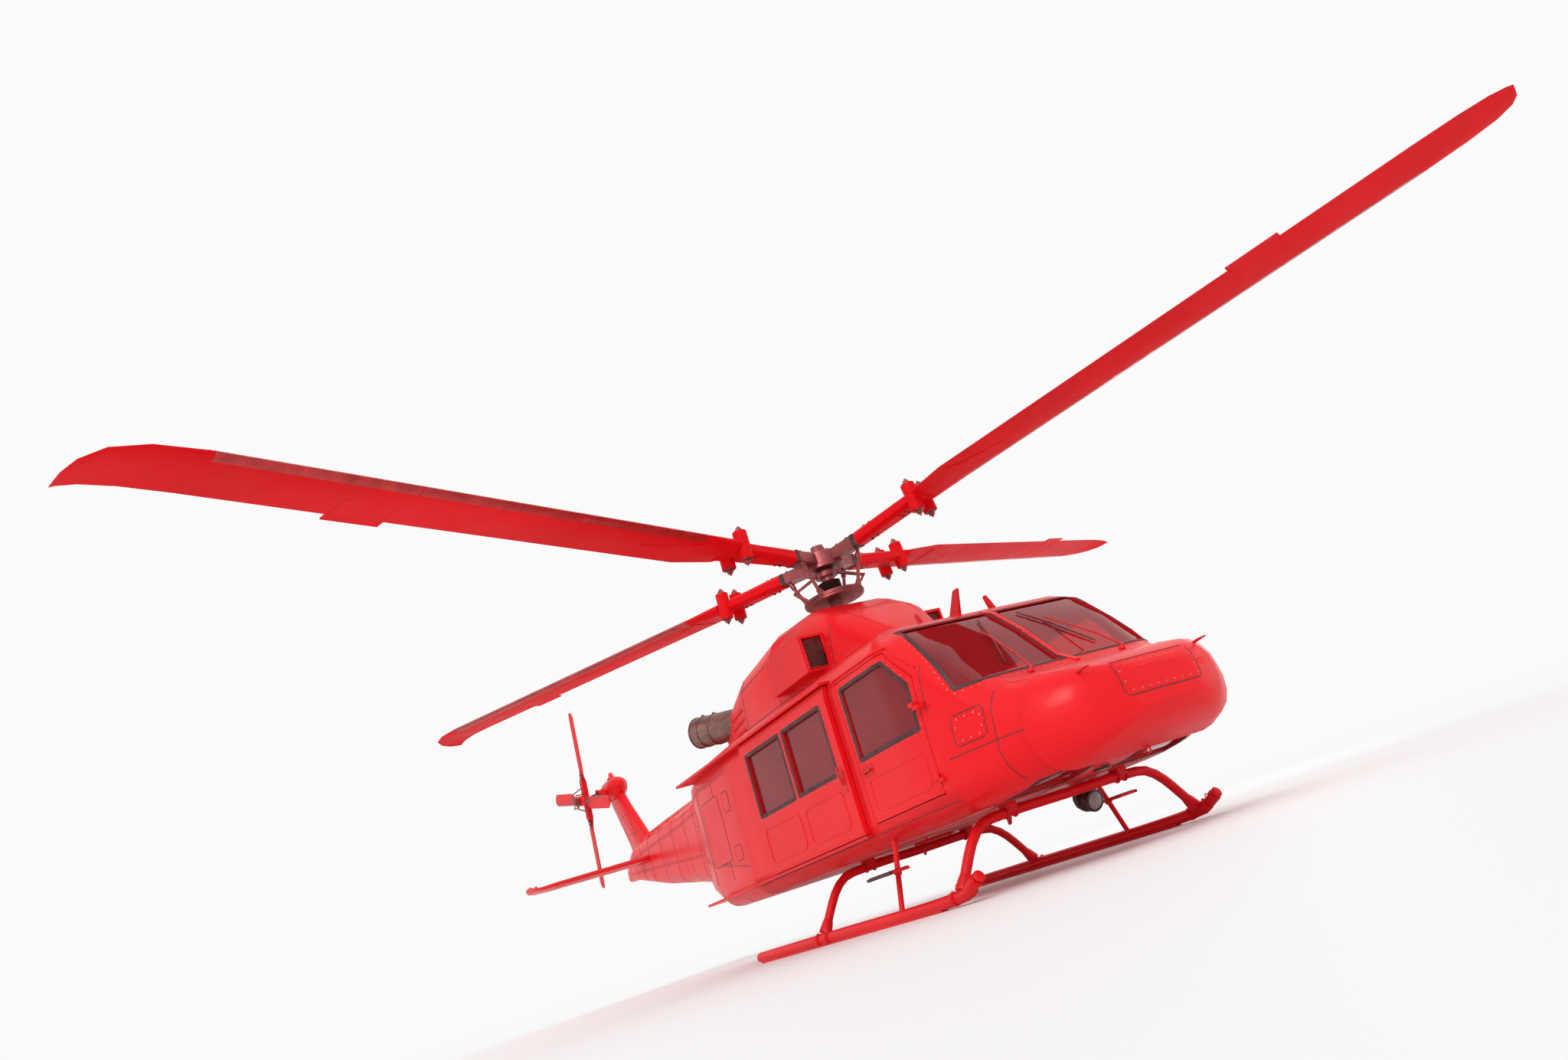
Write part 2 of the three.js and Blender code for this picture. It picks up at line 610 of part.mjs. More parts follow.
// The cuff's section as shares of its half sizes, and its half sizes at the root and at the blade
const CUFF_SHAPE = [[-1, -0.5], [-0.6, -1], [0.6, -1], [1, -0.5], [1, 0.5], [0.6, 1], [-0.6, 1], [-1, 0.5]];
const CUFF = { root: 560, end: 1560, rootHalf: [95, 75], endHalf: [170, 62], endShift: -60 };
const TRIM_TAB = { from: 5120, to: 5600, reach: 85, root: 40, thick: 12 };
const FOLD_LUG = { radius: 75, at: 1420, half: 150, across: [95, -150] };
function blade() {
  const rings = BLADE.map(([out, lead, trail, thickness, z]) => {
    const flat = lens(lead, trail, thickness);
    return { flat, placed: flat.map(([y, up]) => [out, y, z + up]) };
  });
  const cuffRing = (out, [across, up], shift) => {
    const flat = CUFF_SHAPE.map(([y, z]) => [y * across + shift, z * up]);
    return { flat, placed: flat.map(([y, z]) => [out, y, z]) };
  };
  const { from, to, reach, root, thick } = TRIM_TAB;
  const { radius, at, half } = FOLD_LUG;
  const lug = (y) => cylinder(radius, [at, y, -half], [at, y, half], 12);
  return union(
    loft(rings),
    loft([cuffRing(CUFF.root + SEAT_GAP, CUFF.rootHalf, 0), cuffRing(CUFF.end, CUFF.endHalf, CUFF.endShift)]),
    box([from, BLADE_ROOT_TRAIL - reach, -thick / 2], [to, BLADE_ROOT_TRAIL + root, thick / 2]),
    ...FOLD_LUG.across.map(lug),
  );
}

const MAST = { radius: 75, foot: 2880, head: 140 };
const HUB = { radius: 230, half: 85, cap: 150, capTop: 70, capHeight: 110 };
const ARM = { half: 90, tall: 60 };
const SWASHPLATE = { z: 3330, radius: 330, half: 32 };
const PITCH_LINK = { radius: 20, foot: 300, head: 470, aside: 60 };
function rotorHub() {
  const upright = (size, from, to, endSize = size) => cylinder(size, [0, 0, from], [0, 0, to], 24, endSize);
  let made = union(
    upright(MAST.radius, MAST.foot, HUB_Z + MAST.head),
    upright(HUB.radius, HUB_Z - HUB.half, HUB_Z + HUB.half),
    upright(HUB.cap, HUB_Z, HUB_Z + HUB.half + HUB.capHeight, HUB.capTop),
    upright(SWASHPLATE.radius, SWASHPLATE.z - SWASHPLATE.half, SWASHPLATE.z + SWASHPLATE.half),
  );
  for (let i = 0; i < BLADES; i++) {
    const angle = FIRST_BLADE + (i * 2 * Math.PI) / BLADES;
    const arm = box([0, -ARM.half, -ARM.tall], [CUFF.root, ARM.half, ARM.tall]);
    const placed = moved(turned(turned(arm, [0, 1, 0], -CONING), [0, 0, 1], angle), 0, 0, HUB_Z);
    const { radius, foot, head, aside } = PITCH_LINK;
    const link = cylinder(radius, [foot, aside, SWASHPLATE.z], [head, aside, HUB_Z], 8);
    made = union(made, placed, turned(link, [0, 0, 1], angle));
  }
  return made;
}

// Tail rotor: two crossed pairs, one outside the other, on one shaft
const TAIL_PAIR = { grip: 330, gripHalf: 62, gripThick: 42, yokeHalf: 85 };
const TAIL_BLADE = { thick: 26, leadShare: 0.35 };
// Tail blade sections: radius, chord
const TAIL_BLADE_ROWS = [
  [TAIL_PAIR.grip - 20, 120],
  [TAIL_PAIR.grip + 180, 210],
  [TAIL_ROTOR_RADIUS - 90, 210],
  [TAIL_ROTOR_RADIUS, 130],
];
const TAIL_PLANES = { inner: -40, outer: -130 };
const TAIL_SHAFT = { radius: 46, from: 159.5, to: -190 };
function tailPair(plane) {
  const { thick, leadShare } = TAIL_BLADE;
  const halfBlade = (side) => {
    return loft(
      TAIL_BLADE_ROWS.map(([radius, chord]) => {
        const flat = lens(-side * leadShare * chord, side * (1 - leadShare) * chord, thick);
        return { flat, placed: flat.map(([x, y]) => [x, plane + y, side * radius]) };
      }),
    );
  };
  const { grip, gripHalf, gripThick, yokeHalf } = TAIL_PAIR;
  return union(
    halfBlade(1),
    halfBlade(-1),
    box([-gripHalf, plane - gripThick, -grip], [gripHalf, plane + gripThick, grip]),
    cylinder(yokeHalf, [0, plane - gripThick, 0], [0, plane + gripThick, 0], 16),
  );
}

// The pod that caps the fin along the body, and the gearbox's neck out of its starboard side
const POD_SIDES = 16;
const POD = [
  [-8330, 50],
  [-8420, 130],
  [-8600, 185],
  [-8950, 190],
  [-9130, 140],
  [-9190, 60],
];
const POD_Z = 3290;
function podSolid(spare) {
  return loft(
    POD.map(([x, radius]) => {
      const flat = Array.from({ length: POD_SIDES }, (_, k) => {
        const angle = (k / POD_SIDES) * 2 * Math.PI;
        return [(radius + spare) * Math.cos(angle), (radius + spare) * Math.sin(angle)];
      });
      return { flat, placed: flat.map(([y, z]) => [x, y, POD_Z + z]) };
    }),
  );
}

const TAIL_GEARBOX = { root: 150, end: 95, rootY: -20, endY: -290 };
function tailGearbox() {
  const { x, z } = TAIL_HUB;
  const { root, end, rootY, endY } = TAIL_GEARBOX;
  const neck = cylinder(root, [x, rootY, z], [x, endY, z], 20, end);
  return union(neck, podSolid(0)).subtract(finSolid(SEAT_GAP));
}

// Cabin fittings
// Each block of a crew seat: rear, front, half width, bottom, top
const CREW_SEAT = { x: 1700, y: 560 };
const CREW_SEAT_BLOCKS = [
  [-190, 190, 150, FLOOR_Z + SEAT_GAP, 1070],
  [-230, 250, 235, 1060, 1190],
  [-330, -200, 235, 1060, 1740],
  [-320, -230, 130, 1720, 1960],
];
function crewSeat(sign) {
  const { x } = CREW_SEAT;
  const y = sign * CREW_SEAT.y;
  const blocks = CREW_SEAT_BLOCKS.map(([rear, front, half, bottom, top]) =>
    box([x + rear, y - half, bottom], [x + front, y + half, top]),
  );
  return union(...blocks);
}

const BENCH_REAR = CABIN_REAR + WALL + SEAT_GAP;
const BENCH = { rear: BENCH_REAR, front: -790, half: 1100, seatTop: 1230, backTop: 1900, cushion: 90 };
const BENCH_LEG = { half: 20, fromEnd: 60, rear: 40, front: 60 };
function benchSeat() {
  const { rear, front, half, seatTop, backTop, cushion } = BENCH;
  const underside = seatTop - cushion;
  const outer = half - BENCH_LEG.fromEnd;
  const legs = [-outer, 0, outer].map((y) => {
    const low = [rear + BENCH_LEG.rear, y - BENCH_LEG.half, FLOOR_Z + SEAT_GAP];
    return box(low, [front - BENCH_LEG.front, y + BENCH_LEG.half, underside + 1]);
  });
  return union(
    box([rear, -half, underside], [front, half, seatTop]),
    box([rear, -half, underside], [rear + cushion, half, backTop]),
    ...legs,
  );
}

const PANEL = { rear: 2480, front: 2690, half: 640, bottom: 1180, top: 1560, slope: 90, overhang: 60 };
const CONSOLE = { rear: 1900, half: 130, top: 1120 };
function instrumentPanel() {
  const { rear, front, half, bottom, top, slope, overhang } = PANEL;
  const low = FLOOR_Z + SEAT_GAP;
  return union(
    prism("y", [[rear, bottom], [front, bottom], [front, top - slope], [rear - overhang, top]], -half, half),
    box([CONSOLE.rear, -CONSOLE.half, low], [front - slope, CONSOLE.half, CONSOLE.top]),
    box([rear, -CONSOLE.half, low], [front, CONSOLE.half, bottom + 20]),
  );
}

const LAMP = { x: 1700, y: 820, z: 480, radius: 120, post: 40, postTop: 700 };
function searchLamp() {
  const ball = new THREE.SphereGeometry(LAMP.radius, 16, 10);
  ball.translate(LAMP.x, LAMP.y, LAMP.z);
  const post = cylinder(LAMP.post, [LAMP.x, LAMP.y, LAMP.z], [LAMP.x, LAMP.y, LAMP.postTop], 12);
  return solid(ball).add(post.subtract(bodyClear));
}

const CUTTER_FOOT = DECK_Z + SEAT_GAP;
const CUTTER = [
  [1560, CUTTER_FOOT],
  [1960, CUTTER_FOOT],
  [2080, 2600],
  [2010, 2600],
  [1840, 2420],
  [1560, 2370],
];
const CUTTER_HALF = 14;
function wireCutter() {
  return prism("y", CUTTER, -CUTTER_HALF, CUTTER_HALF);
}

const BEACON = { x: -8760, radius: 62, top: 3575, foot: 3440, taper: 0.55 };
function beacon() {
  const { x, radius, foot, top, taper } = BEACON;
  return cylinder(radius, [x, 0, foot], [x, 0, top], 16, radius * taper).subtract(podSolid(SEAT_GAP));
}

const GEARBOX = { rear: -430, front: 300, half: 330, top: MAST.foot - SEAT_GAP };
const ENGINES = { rear: -1950, front: -700, half: 520, top: 2740 };

// Assembly
const aircraft = new THREE.Group();
aircraft.position.x = MAST_X;

function add(name, made, [color, roughness, metalness], parent = aircraft) {
  const material = new THREE.MeshStandardMaterial({ color, roughness, metalness });
  const mesh = new THREE.Mesh(geometryOf(made), material);
  mesh.name = name;
  parent.add(mesh);
  return mesh;
}

add("nose_shell", noseShell(), PAINT);
add("cabin_shell", cabinShell(), PAINT);
add("cabin_floor", cabinFloor(), PAINT);
add("aft_fuselage", aftFuselage(), PAINT);
add("tail_boom", tailBoom(), PAINT);
add("tail_fin", finSolid(0).subtract(bodyClear).subtract(coverClear), PAINT);
add("tail_gearbox", tailGearbox(), PAINT);
add("beacon", beacon(), LAMP_RED);
const cowling = cowlings();
add("mast_fairing", cowling.front, PAINT);
add("engine_cowling", cowling.rear, PAINT);
for (const [name, { rear, front, half, top }] of [["gearbox_block", GEARBOX], ["engine_block", ENGINES]]) {
  add(name, box([rear, -half, DECK_Z + SEAT_GAP], [front, half, top]), METAL);
}
add("instrument_panel", instrumentPanel(), DARK_PAINT);
add("bench_seat", benchSeat(), CLOTH);
add("search_lamp", searchLamp(), DARK_PAINT);
add("wire_cutter", wireCutter(), PAINT);
add("cross_tube_front", crossTube(CROSS_TUBES.front), PAINT);
add("cross_tube_rear", crossTube(CROSS_TUBES.rear), PAINT);

for (const { name, sign } of SIDES) {
  const screen = throughFront(inset(windscreenOutline(sign), SEAT_GAP));
  const chin = throughBelly(inset(chinOutline(sign), SEAT_GAP));
  add(`windscreen_${name}`, glassShell.intersect(screen), GLASS);
  add(`chin_window_${name}`, glassShell.intersect(chin), GLASS);
  add(`crew_door_${name}`, crewDoor(sign), PAINT);
  const doorPane = glassShell.intersect(throughSide(inset(CREW_WINDOW, SEAT_GAP), sign));
  add(`crew_door_glass_${name}`, doorPane, GLASS);
  add(`cabin_door_${name}`, slidingDoor(sign), PAINT);
  add(`cabin_door_glass_${name}`, slidingDoorPane(sign, 0), GLASS);
  add(`crew_seat_${name}`, crewSeat(sign), CLOTH);
  add(`stabiliser_${name}`, stabiliser(sign), PAINT);
  add(`exhaust_${name}`, exhaust(sign), BURNT_METAL);
  add(`skid_${name}`, skid(sign), PAINT);
}

const mainRotor = new THREE.Group();
aircraft.add(mainRotor);
add("rotor_hub", rotorHub(), DARK_PAINT, mainRotor);
for (let i = 0; i < BLADES; i++) {
  const place = new THREE.Group();
  place.position.z = HUB_Z;
  place.rotation.z = FIRST_BLADE + (i * 2 * Math.PI) / BLADES;
  const cone = new THREE.Group();
  cone.rotation.y = -CONING;
  place.add(cone);
  mainRotor.add(place);
  add(`main_blade_${i + 1}`, blade(), PAINT, cone);
}

const tailRotor = new THREE.Group();
tailRotor.position.set(TAIL_HUB.x, TAIL_HUB.y, TAIL_HUB.z);
tailRotor.rotation.y = TAIL_BLADE_LEAN;
aircraft.add(tailRotor);
const shaft = cylinder(TAIL_SHAFT.radius, [0, TAIL_SHAFT.from, 0], [0, TAIL_SHAFT.to, 0]);
add("tail_rotor_inner", tailPair(TAIL_PLANES.inner).add(shaft), PAINT, tailRotor);
const crossed = turned(tailPair(TAIL_PLANES.outer), [0, 1, 0], Math.PI / 2);
const bore = cylinder(TAIL_SHAFT.radius + SEAT_GAP, [0, TAIL_SHAFT.from, 0], [0, TAIL_SHAFT.to - 50, 0]);
add("tail_rotor_outer", crossed.subtract(bore), PAINT, tailRotor);

const group = new THREE.Group();
group.name = "helicopter";
group.add(aircraft);
export default group;
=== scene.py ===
import json
import random
from math import copysign, cos, exp, pi, radians, sin

import bmesh
import bpy
from mathutils import Matrix, Vector
from mathutils.bvhtree import BVHTree


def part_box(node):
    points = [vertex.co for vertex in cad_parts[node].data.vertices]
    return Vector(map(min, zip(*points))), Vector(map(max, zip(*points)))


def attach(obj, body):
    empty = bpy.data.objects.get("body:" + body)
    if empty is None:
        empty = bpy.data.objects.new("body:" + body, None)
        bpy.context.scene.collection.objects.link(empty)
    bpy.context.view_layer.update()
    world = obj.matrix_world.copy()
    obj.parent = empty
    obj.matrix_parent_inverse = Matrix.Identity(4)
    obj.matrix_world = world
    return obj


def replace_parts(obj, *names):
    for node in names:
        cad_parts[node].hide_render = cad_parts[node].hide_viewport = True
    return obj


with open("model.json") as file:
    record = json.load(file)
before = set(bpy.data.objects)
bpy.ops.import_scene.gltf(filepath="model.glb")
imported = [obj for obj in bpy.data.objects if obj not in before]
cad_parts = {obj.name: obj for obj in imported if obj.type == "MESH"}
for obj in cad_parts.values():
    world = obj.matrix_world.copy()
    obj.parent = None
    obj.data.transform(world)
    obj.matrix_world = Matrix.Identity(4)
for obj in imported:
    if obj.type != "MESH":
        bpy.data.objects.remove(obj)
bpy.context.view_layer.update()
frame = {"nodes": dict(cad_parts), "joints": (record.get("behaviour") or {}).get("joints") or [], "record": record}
nodes = frame["nodes"]
scene = bpy.context.scene
rng = random.Random(7)

# Places and the steps between them are in metres. The radii, widths, thicknesses, lifts, spacings and profiles that
# the methods of Form take are in millimetres, and a profile is a row of (distance along the axis, radius).
MM = 1000
UP, DOWN = Vector((0, 0, 1)), Vector((0, 0, -1))
AHEAD, BACK, ACROSS = Vector((1, 0, 0)), Vector((-1, 0, 0)), Vector((0, 1, 0))
SIDES = (("left", 1), ("right", -1))
joint_at = {joint["name"]: joint.get("pos_m") for joint in frame["joints"]}
MAST = Vector(joint_at["main_rotor_spin"])
TAIL_HUB = Vector(joint_at["tail_rotor_spin"])
MX = MAST.x


def placed(name, data):
    obj = bpy.data.objects.new(name, data)
    scene.collection.objects.link(obj)
    return obj


def spot(x, y, z):
    """A place whose x is measured from the mast's axis."""
    return Vector((MX + x, y, z))


def drawn(points):
    return [(MX + x, other) for x, other in points]


def rectangle(p0, p1, q0, q1, c=0.0):
    """A rectangle's corners, cut by c."""
    if not c:
        return [(p0, q0), (p1, q0), (p1, q1), (p0, q1)]
    return [(p0 + c, q0), (p1 - c, q0), (p1, q0 + c), (p1, q1 - c),
            (p1 - c, q1), (p0 + c, q1), (p0, q1 - c), (p0, q0 + c)]


# Camera at floor level, ahead of the nose to starboard, leaning as the photograph does
CAMERA = {"distance": 12.2, "height": 0.3, "azimuth": -32, "yaw": 1.3, "pitch": 18.0, "roll": -19.0}
FOCAL_PX, IMAGE_WIDTH_PX, SENSOR_MM, CLIP_END = 1500, 2048, 36, 500


def aim_camera():
    azimuth, yaw, pitch, roll = (radians(CAMERA[key]) for key in ("azimuth", "yaw", "pitch", "roll"))
    place = Vector((MX, 0, 0)) + CAMERA["distance"] * Vector((cos(azimuth), sin(azimuth), 0))
    place.z = CAMERA["height"]
    heading = azimuth + pi + yaw
    ahead = Vector((cos(heading) * cos(pitch), sin(heading) * cos(pitch), sin(pitch)))
    right = ahead.cross(UP).normalized()
    up = right.cross(ahead)
    leaned = Matrix((cos(roll) * right + sin(roll) * up, cos(roll) * up - sin(roll) * right, -ahead))
    data = bpy.data.cameras.new("camera")
    data.sensor_width = SENSOR_MM
    data.lens = SENSOR_MM * FOCAL_PX / IMAGE_WIDTH_PX
    data.clip_end = CLIP_END
    scene.camera = placed("camera", data)
    scene.camera.matrix_world = Matrix.Translation(place) @ leaned.transposed().to_4x4()


# Materials. Every one varies in colour, roughness and bump through nodes in object space.
NOISE_ROUGHNESS = 0.55
EDGE_WIDTH = 0.006
EDGE_RANGE = (0.75, 0.97)


class Look:
    """A procedural material under construction: nodes, and a few stacked effects."""

    def __init__(self, name):
        self.material = bpy.data.materials.new(name)
        self.material.use_nodes = True
        self.tree = self.material.node_tree
        self.shader = self.tree.nodes["Principled BSDF"]
        self.place = self.tree.nodes.new("ShaderNodeTexCoord").outputs["Object"]

    def put(self, socket, value):
        if isinstance(value, bpy.types.NodeSocket):
            self.tree.links.new(value, socket)
        else:
            socket.default_value = value

    def node(self, kind, inputs, **settings):
        made = self.tree.nodes.new("ShaderNode" + kind)
        for key, value in settings.items():
            setattr(made, key, value)
        for key, value in inputs.items():
            self.put(made.inputs[key], value)
        return made

    def set(self, **inputs):
        for key, value in inputs.items():
            self.put(self.shader.inputs[key.replace("_", " ")], value)

    def noise(self, scale, detail=4.0, stretch=(1, 1, 1)):
        place = self.node("Mapping", {"Vector": self.place, "Scale": stretch}).outputs["Vector"]
        inputs = {"Vector": place, "Scale": scale, "Detail": detail, "Roughness": NOISE_ROUGHNESS}
        return self.node("TexNoise", inputs).outputs["Fac"]

    def wave(self, axis, **inputs):
        return self.node("TexWave", {"Vector": self.place, **inputs}, bands_direction=axis).outputs["Fac"]

    def math(self, operation, a, b):
        return self.node("Math", {0: a, 1: b}, operation=operation).outputs[0]

    def ramp(self, value, low, high, start=0.35, end=0.65):
        made = self.node("ValToRGB", {"Fac": value})
        for stop, position, colour in zip(made.color_ramp.elements, (start, end), (low, high)):
            stop.position, stop.color = position, (*colour, 1)
        return made.outputs["Color"]

    def span(self, value, low, high, start=0.3, end=0.7):
        inputs = {"Value": value, "From Min": start, "From Max": end, "To Min": low, "To Max": high}
        return self.node("MapRange", inputs).outputs["Result"]

    def mix(self, factor, a, b):
        made = self.node("Mix", {}, data_type="RGBA", blend_type="MIX")
        for index, value in ((0, factor), (6, a), (7, b)):
            self.put(made.inputs[index], (*value, 1) if isinstance(value, tuple) else value)
        return made.outputs[2]

    def edges(self):
        """1 along edges, where paint wears through, 0 elsewhere."""
        softened = self.node("Bevel", {"Radius": EDGE_WIDTH}, samples=3).outputs["Normal"]
        plain = self.node("NewGeometry", {}).outputs["Normal"]
        same = self.node("VectorMath", {0: softened, 1: plain}, operation="DOT_PRODUCT").outputs["Value"]
        return self.span(same, 1.0, 0.0, *EDGE_RANGE)

    def bumps(self, *layers, radius=0.0):
        """Stacked bump from (height, strength, distance) layers over edges softened by a radius."""
        normal = self.node("Bevel", {"Radius": radius}, samples=4).outputs["Normal"] if radius else None
        for height, strength, distance in layers:
            inputs = {"Height": height, "Strength": strength, "Distance": distance}
            if normal is not None:
                inputs["Normal"] = normal
            normal = self.node("Bump", inputs).outputs["Normal"]
        self.set(Normal=normal)
        return self.material


def tint(colour, share, plus=0.0):
    return tuple(min(1, c * share + plus) for c in colour)


RED = (0.80, 0.006, 0.011)
CHIPPED = (0.42, 0.16, 0.15)


def paint_look(name, share=1.0, roughness=0.32, coat=0.08, dirt=0.22, wear=0.35, gleam=0.14, soft=0.004,
               peel=0.025):
    """Gloss or satin paint: slight fading, road film that runs down, chips on edges, orange peel."""
    look, colour = Look(name), tint(RED, share)
    tone = look.ramp(look.noise(0.45, 3), tint(colour, 0.88), tint(colour, 1.08, 0.002), 0.30, 0.72)
    film = look.span(look.noise(3.2, 8, (0.7, 0.7, 0.16)), 0.0, dirt, 0.56, 0.86)
    tone = look.mix(film, tone, tint(colour, 0.35, 0.004))
    if wear:
        worn = look.span(look.noise(19, 6), 0, wear, 0.45, 0.62)
        tone = look.mix(look.math("MULTIPLY", look.edges(), worn), tone, CHIPPED)
    specks = look.span(look.noise(46, 3), 0, 1, 0.70, 0.76)
    tone = look.mix(look.math("MULTIPLY", specks, 0.12), tone, tint(colour, 0.3))
    look.set(Base_Color=tone, Roughness=look.span(look.noise(2.3, 4), roughness, roughness + 0.12, 0.3, 0.8))
    look.set(Coat_Weight=coat, Coat_Roughness=0.08, Specular_IOR_Level=gleam)
    return look.bumps((look.noise(150, 2), peel, 0.002), (look.noise(1.6, 2), 0.10, 0.02), radius=soft)


def metal_look(name, colour, roughness=0.35, stain=None, streak=(1, 1, 1), stain_share=0.4):
    """Bare or lightly stained metal with fine machining marks."""
    look = Look(name)
    tone = look.ramp(look.noise(7, 6, streak), tint(colour, 0.65), colour, 0.3, 0.7)
    if stain:
        tone = look.mix(look.span(look.noise(3.1, 7), 0, stain_share, 0.40, 0.72), tone, stain)
    look.set(Base_Color=tone, Metallic=0.85)
    look.set(Roughness=look.span(look.noise(24, 5, streak), roughness - 0.08, roughness + 0.18))
    return look.bumps((look.noise(220, 3, streak), 0.08, 0.001), radius=0.002)


def plastic_look(name, colour, roughness=0.5, grain=420, depth=0.15):
    """Moulded plastic or rubber with a fine grain and a tone that varies at random."""
    look = Look(name)
    look.set(Base_Color=look.ramp(look.noise(5, 6), tint(colour, 0.7), tint(colour, 1.25, 0.004)))
    look.set(Roughness=look.span(look.noise(11, 5), roughness - 0.08, roughness + 0.14))
    return look.bumps((look.noise(grain, 2), depth, 0.0008), radius=0.0015)


def glass_look(name, colour, clear=0.72, roughness=0.015):
    """Tinted acrylic: clear through, with faint smears in its gloss."""
    look = Look(name)
    look.set(Base_Color=look.ramp(look.noise(1.3, 3), tint(colour, 0.85), colour))
    look.set(Roughness=look.span(look.noise(4.5, 7), roughness, roughness + 0.05, 0.4, 0.75))
    look.set(Transmission_Weight=clear, IOR=1.12, Specular_IOR_Level=0.6, Coat_Weight=0.45, Coat_Roughness=0.02)
    return look.bumps((look.noise(2.2, 2), 0.02, 0.01))


def cloth_look(name, colour):
    """Woven seat cloth: crossing threads with painted shade in the hollows between them, sheen and worn, paler
    crowns.
    """
    look = Look(name)
    x, y, z = (look.wave(axis, Scale=190.0, Distortion=1.5, Detail=1.0) for axis in "XYZ")
    weave = look.math("ADD", look.math("ADD", x, y), z)
    tone = look.ramp(look.noise(6, 6), tint(colour, 0.7), tint(colour, 1.35))
    # Darker where the weave is low, in the hollows between the threads: painted shade
    tone = look.mix(look.span(weave, 0.35, 0.0, 0.6, 2.2), tone, tint(colour, 0.4))
    look.set(Base_Color=tone, Roughness=0.92, Sheen_Weight=0.35, Sheen_Roughness=0.4)
    return look.bumps((weave, 0.25, 0.0006), (look.noise(14, 5), 0.18, 0.004))


def lamp_look(name, colour, glow=0.0):
    """A clear coloured lens with moulded ribs."""
    look = Look(name)
    ribs = look.wave("Z", Scale=60.0)
    look.set(Base_Color=look.ramp(look.noise(9, 3), tint(colour, 0.8), colour))
    look.set(Roughness=look.span(look.noise(12, 4), 0.04, 0.12), Transmission_Weight=0.55, IOR=1.45)
    if glow:
        look.set(Emission_Color=(*colour, 1), Emission_Strength=glow)
    return look.bumps((ribs, 0.35, 0.003))


# The slots of the CAD nodes come first, then what only the added pieces are made of.
LOOKS = {
    "paint": paint_look("red_paint"),
    "belly": paint_look("belly_paint", 0.9, 0.4, dirt=0.4),
    "blades": paint_look("blade_paint", 0.95, 0.48, 0.0, wear=0.0, gleam=0.05, soft=0.0, peel=0.004),
    "tail_blades": paint_look("tail_blade_paint", 0.95, 0.44, 0.04),
    "gear": paint_look("gear_paint", 0.92, 0.4, dirt=0.4, wear=0.8),
    "hub": metal_look("hub_metal", (0.42, 0.10, 0.10), 0.38, (0.10, 0.03, 0.03)),
    "fittings": paint_look("fitting_paint", 0.8, 0.38, 0.2, wear=0.7),
    "engine": metal_look("engine_metal", (0.5, 0.42, 0.42), 0.45, (0.12, 0.06, 0.05)),
    "exhaust": metal_look("burnt_metal", (0.36, 0.20, 0.17), 0.42, (0.09, 0.05, 0.05), (1, 1, 3), 0.8),
    "panel": plastic_look("panel_plastic", (0.022, 0.018, 0.02), 0.62),
    "cloth": cloth_look("seat_cloth", (0.10, 0.045, 0.045)),
    "lamp": plastic_look("lamp_housing", (0.05, 0.018, 0.02), 0.35, 200, 0.05),
    "beacon": lamp_look("beacon_lens", (0.9, 0.03, 0.02), 0.6),
    "glass": glass_look("tinted_glass", (0.62, 0.035, 0.045)),
    "rubber": plastic_look("seal_rubber", (0.05, 0.010, 0.012), 0.55, 260, 0.1),
    "steel": metal_look("fastener_steel", (0.56, 0.24, 0.23), 0.32),
    "guard": metal_look("guard_strip", (0.62, 0.06, 0.06), 0.36, (0.30, 0.03, 0.03)),
    # Near black: painted shade behind the intake screens, and soot with painted shade deep in the exhausts
    "dark": plastic_look("painted_shade_and_soot", (0.012, 0.008, 0.008), 0.7),
    "liner": cloth_look("cabin_liner", (0.20, 0.09, 0.085)),
    "marks": plastic_look("dial_marks", (0.75, 0.73, 0.70), 0.5),
    "lens": lamp_look("clear_lens", (0.9, 0.86, 0.84)),
}

# Stage: a pale floor that runs out of sight, an even pale sky, one broad sun and two soft boxes that only gleam
FLOOR_COLOUR = (0.83, 0.83, 0.83, 1)
FLOOR_REACH, FLOOR_DROP = 260, 0.001
SKY_STRENGTH = 0.96
# Name, kind, energy, place, target, and a sun's angle in degrees or a box's two sizes
LIGHTS = (
    ("sun", "SUN", 0.85, (16, -18, 24), (0, 0, 1.6), (24,)),
    ("key_box", "AREA", 700, (13, -11, 9), (2, 0, 1.5), (8, 4)),
    ("rim_box", "AREA", 160, (-9, 14, 5), (-2, 0, 2), (9, 3)),
)


def set_stage():
    world = bpy.data.worlds.new("studio")
    scene.world = world
    world.use_nodes = True
    background = world.node_tree.nodes["Background"]
    background.inputs["Color"].default_value = (1, 1, 1, 1)
    background.inputs["Strength"].default_value = SKY_STRENGTH
    pale = Look("floor_pale")
    pale.set(Base_Color=FLOOR_COLOUR, Roughness=0.6, Specular_IOR_Level=0.2)
    mesh = bpy.data.meshes.new("floor")
    corners = rectangle(-FLOOR_REACH, FLOOR_REACH, -FLOOR_REACH, FLOOR_REACH)
    mesh.from_pydata([(x, y, 0) for x, y in corners], [], [(0, 1, 2, 3)])
    mesh.materials.append(pale.material)
    floor = placed("floor", mesh)
    floor.location.z = -FLOOR_DROP
    for name, kind, energy, place, target, size in LIGHTS:
        data = bpy.data.lights.new(name, kind)
        data.energy = energy
        if kind == "AREA":
            data.shape = "RECTANGLE"
            data.size, data.size_y = size
        else:
            data.angle = radians(*size)
        light = placed(name, data)
        light.location = place
        light.rotation_mode = "QUATERNION"
        light.rotation_quaternion = (Vector(target) - Vector(place)).to_track_quat("-Z", "Y")
        light.visible_diffuse = kind == "SUN"
        light.visible_camera = False
    scene.view_settings.view_transform = "Standard"
    scene.view_settings.look = "None"


# CAD nodes: shared smooth surfaces with crisp edges, each with its slot's look
SMOOTH_ANGLE = radians(32)
WELD = 0.00002


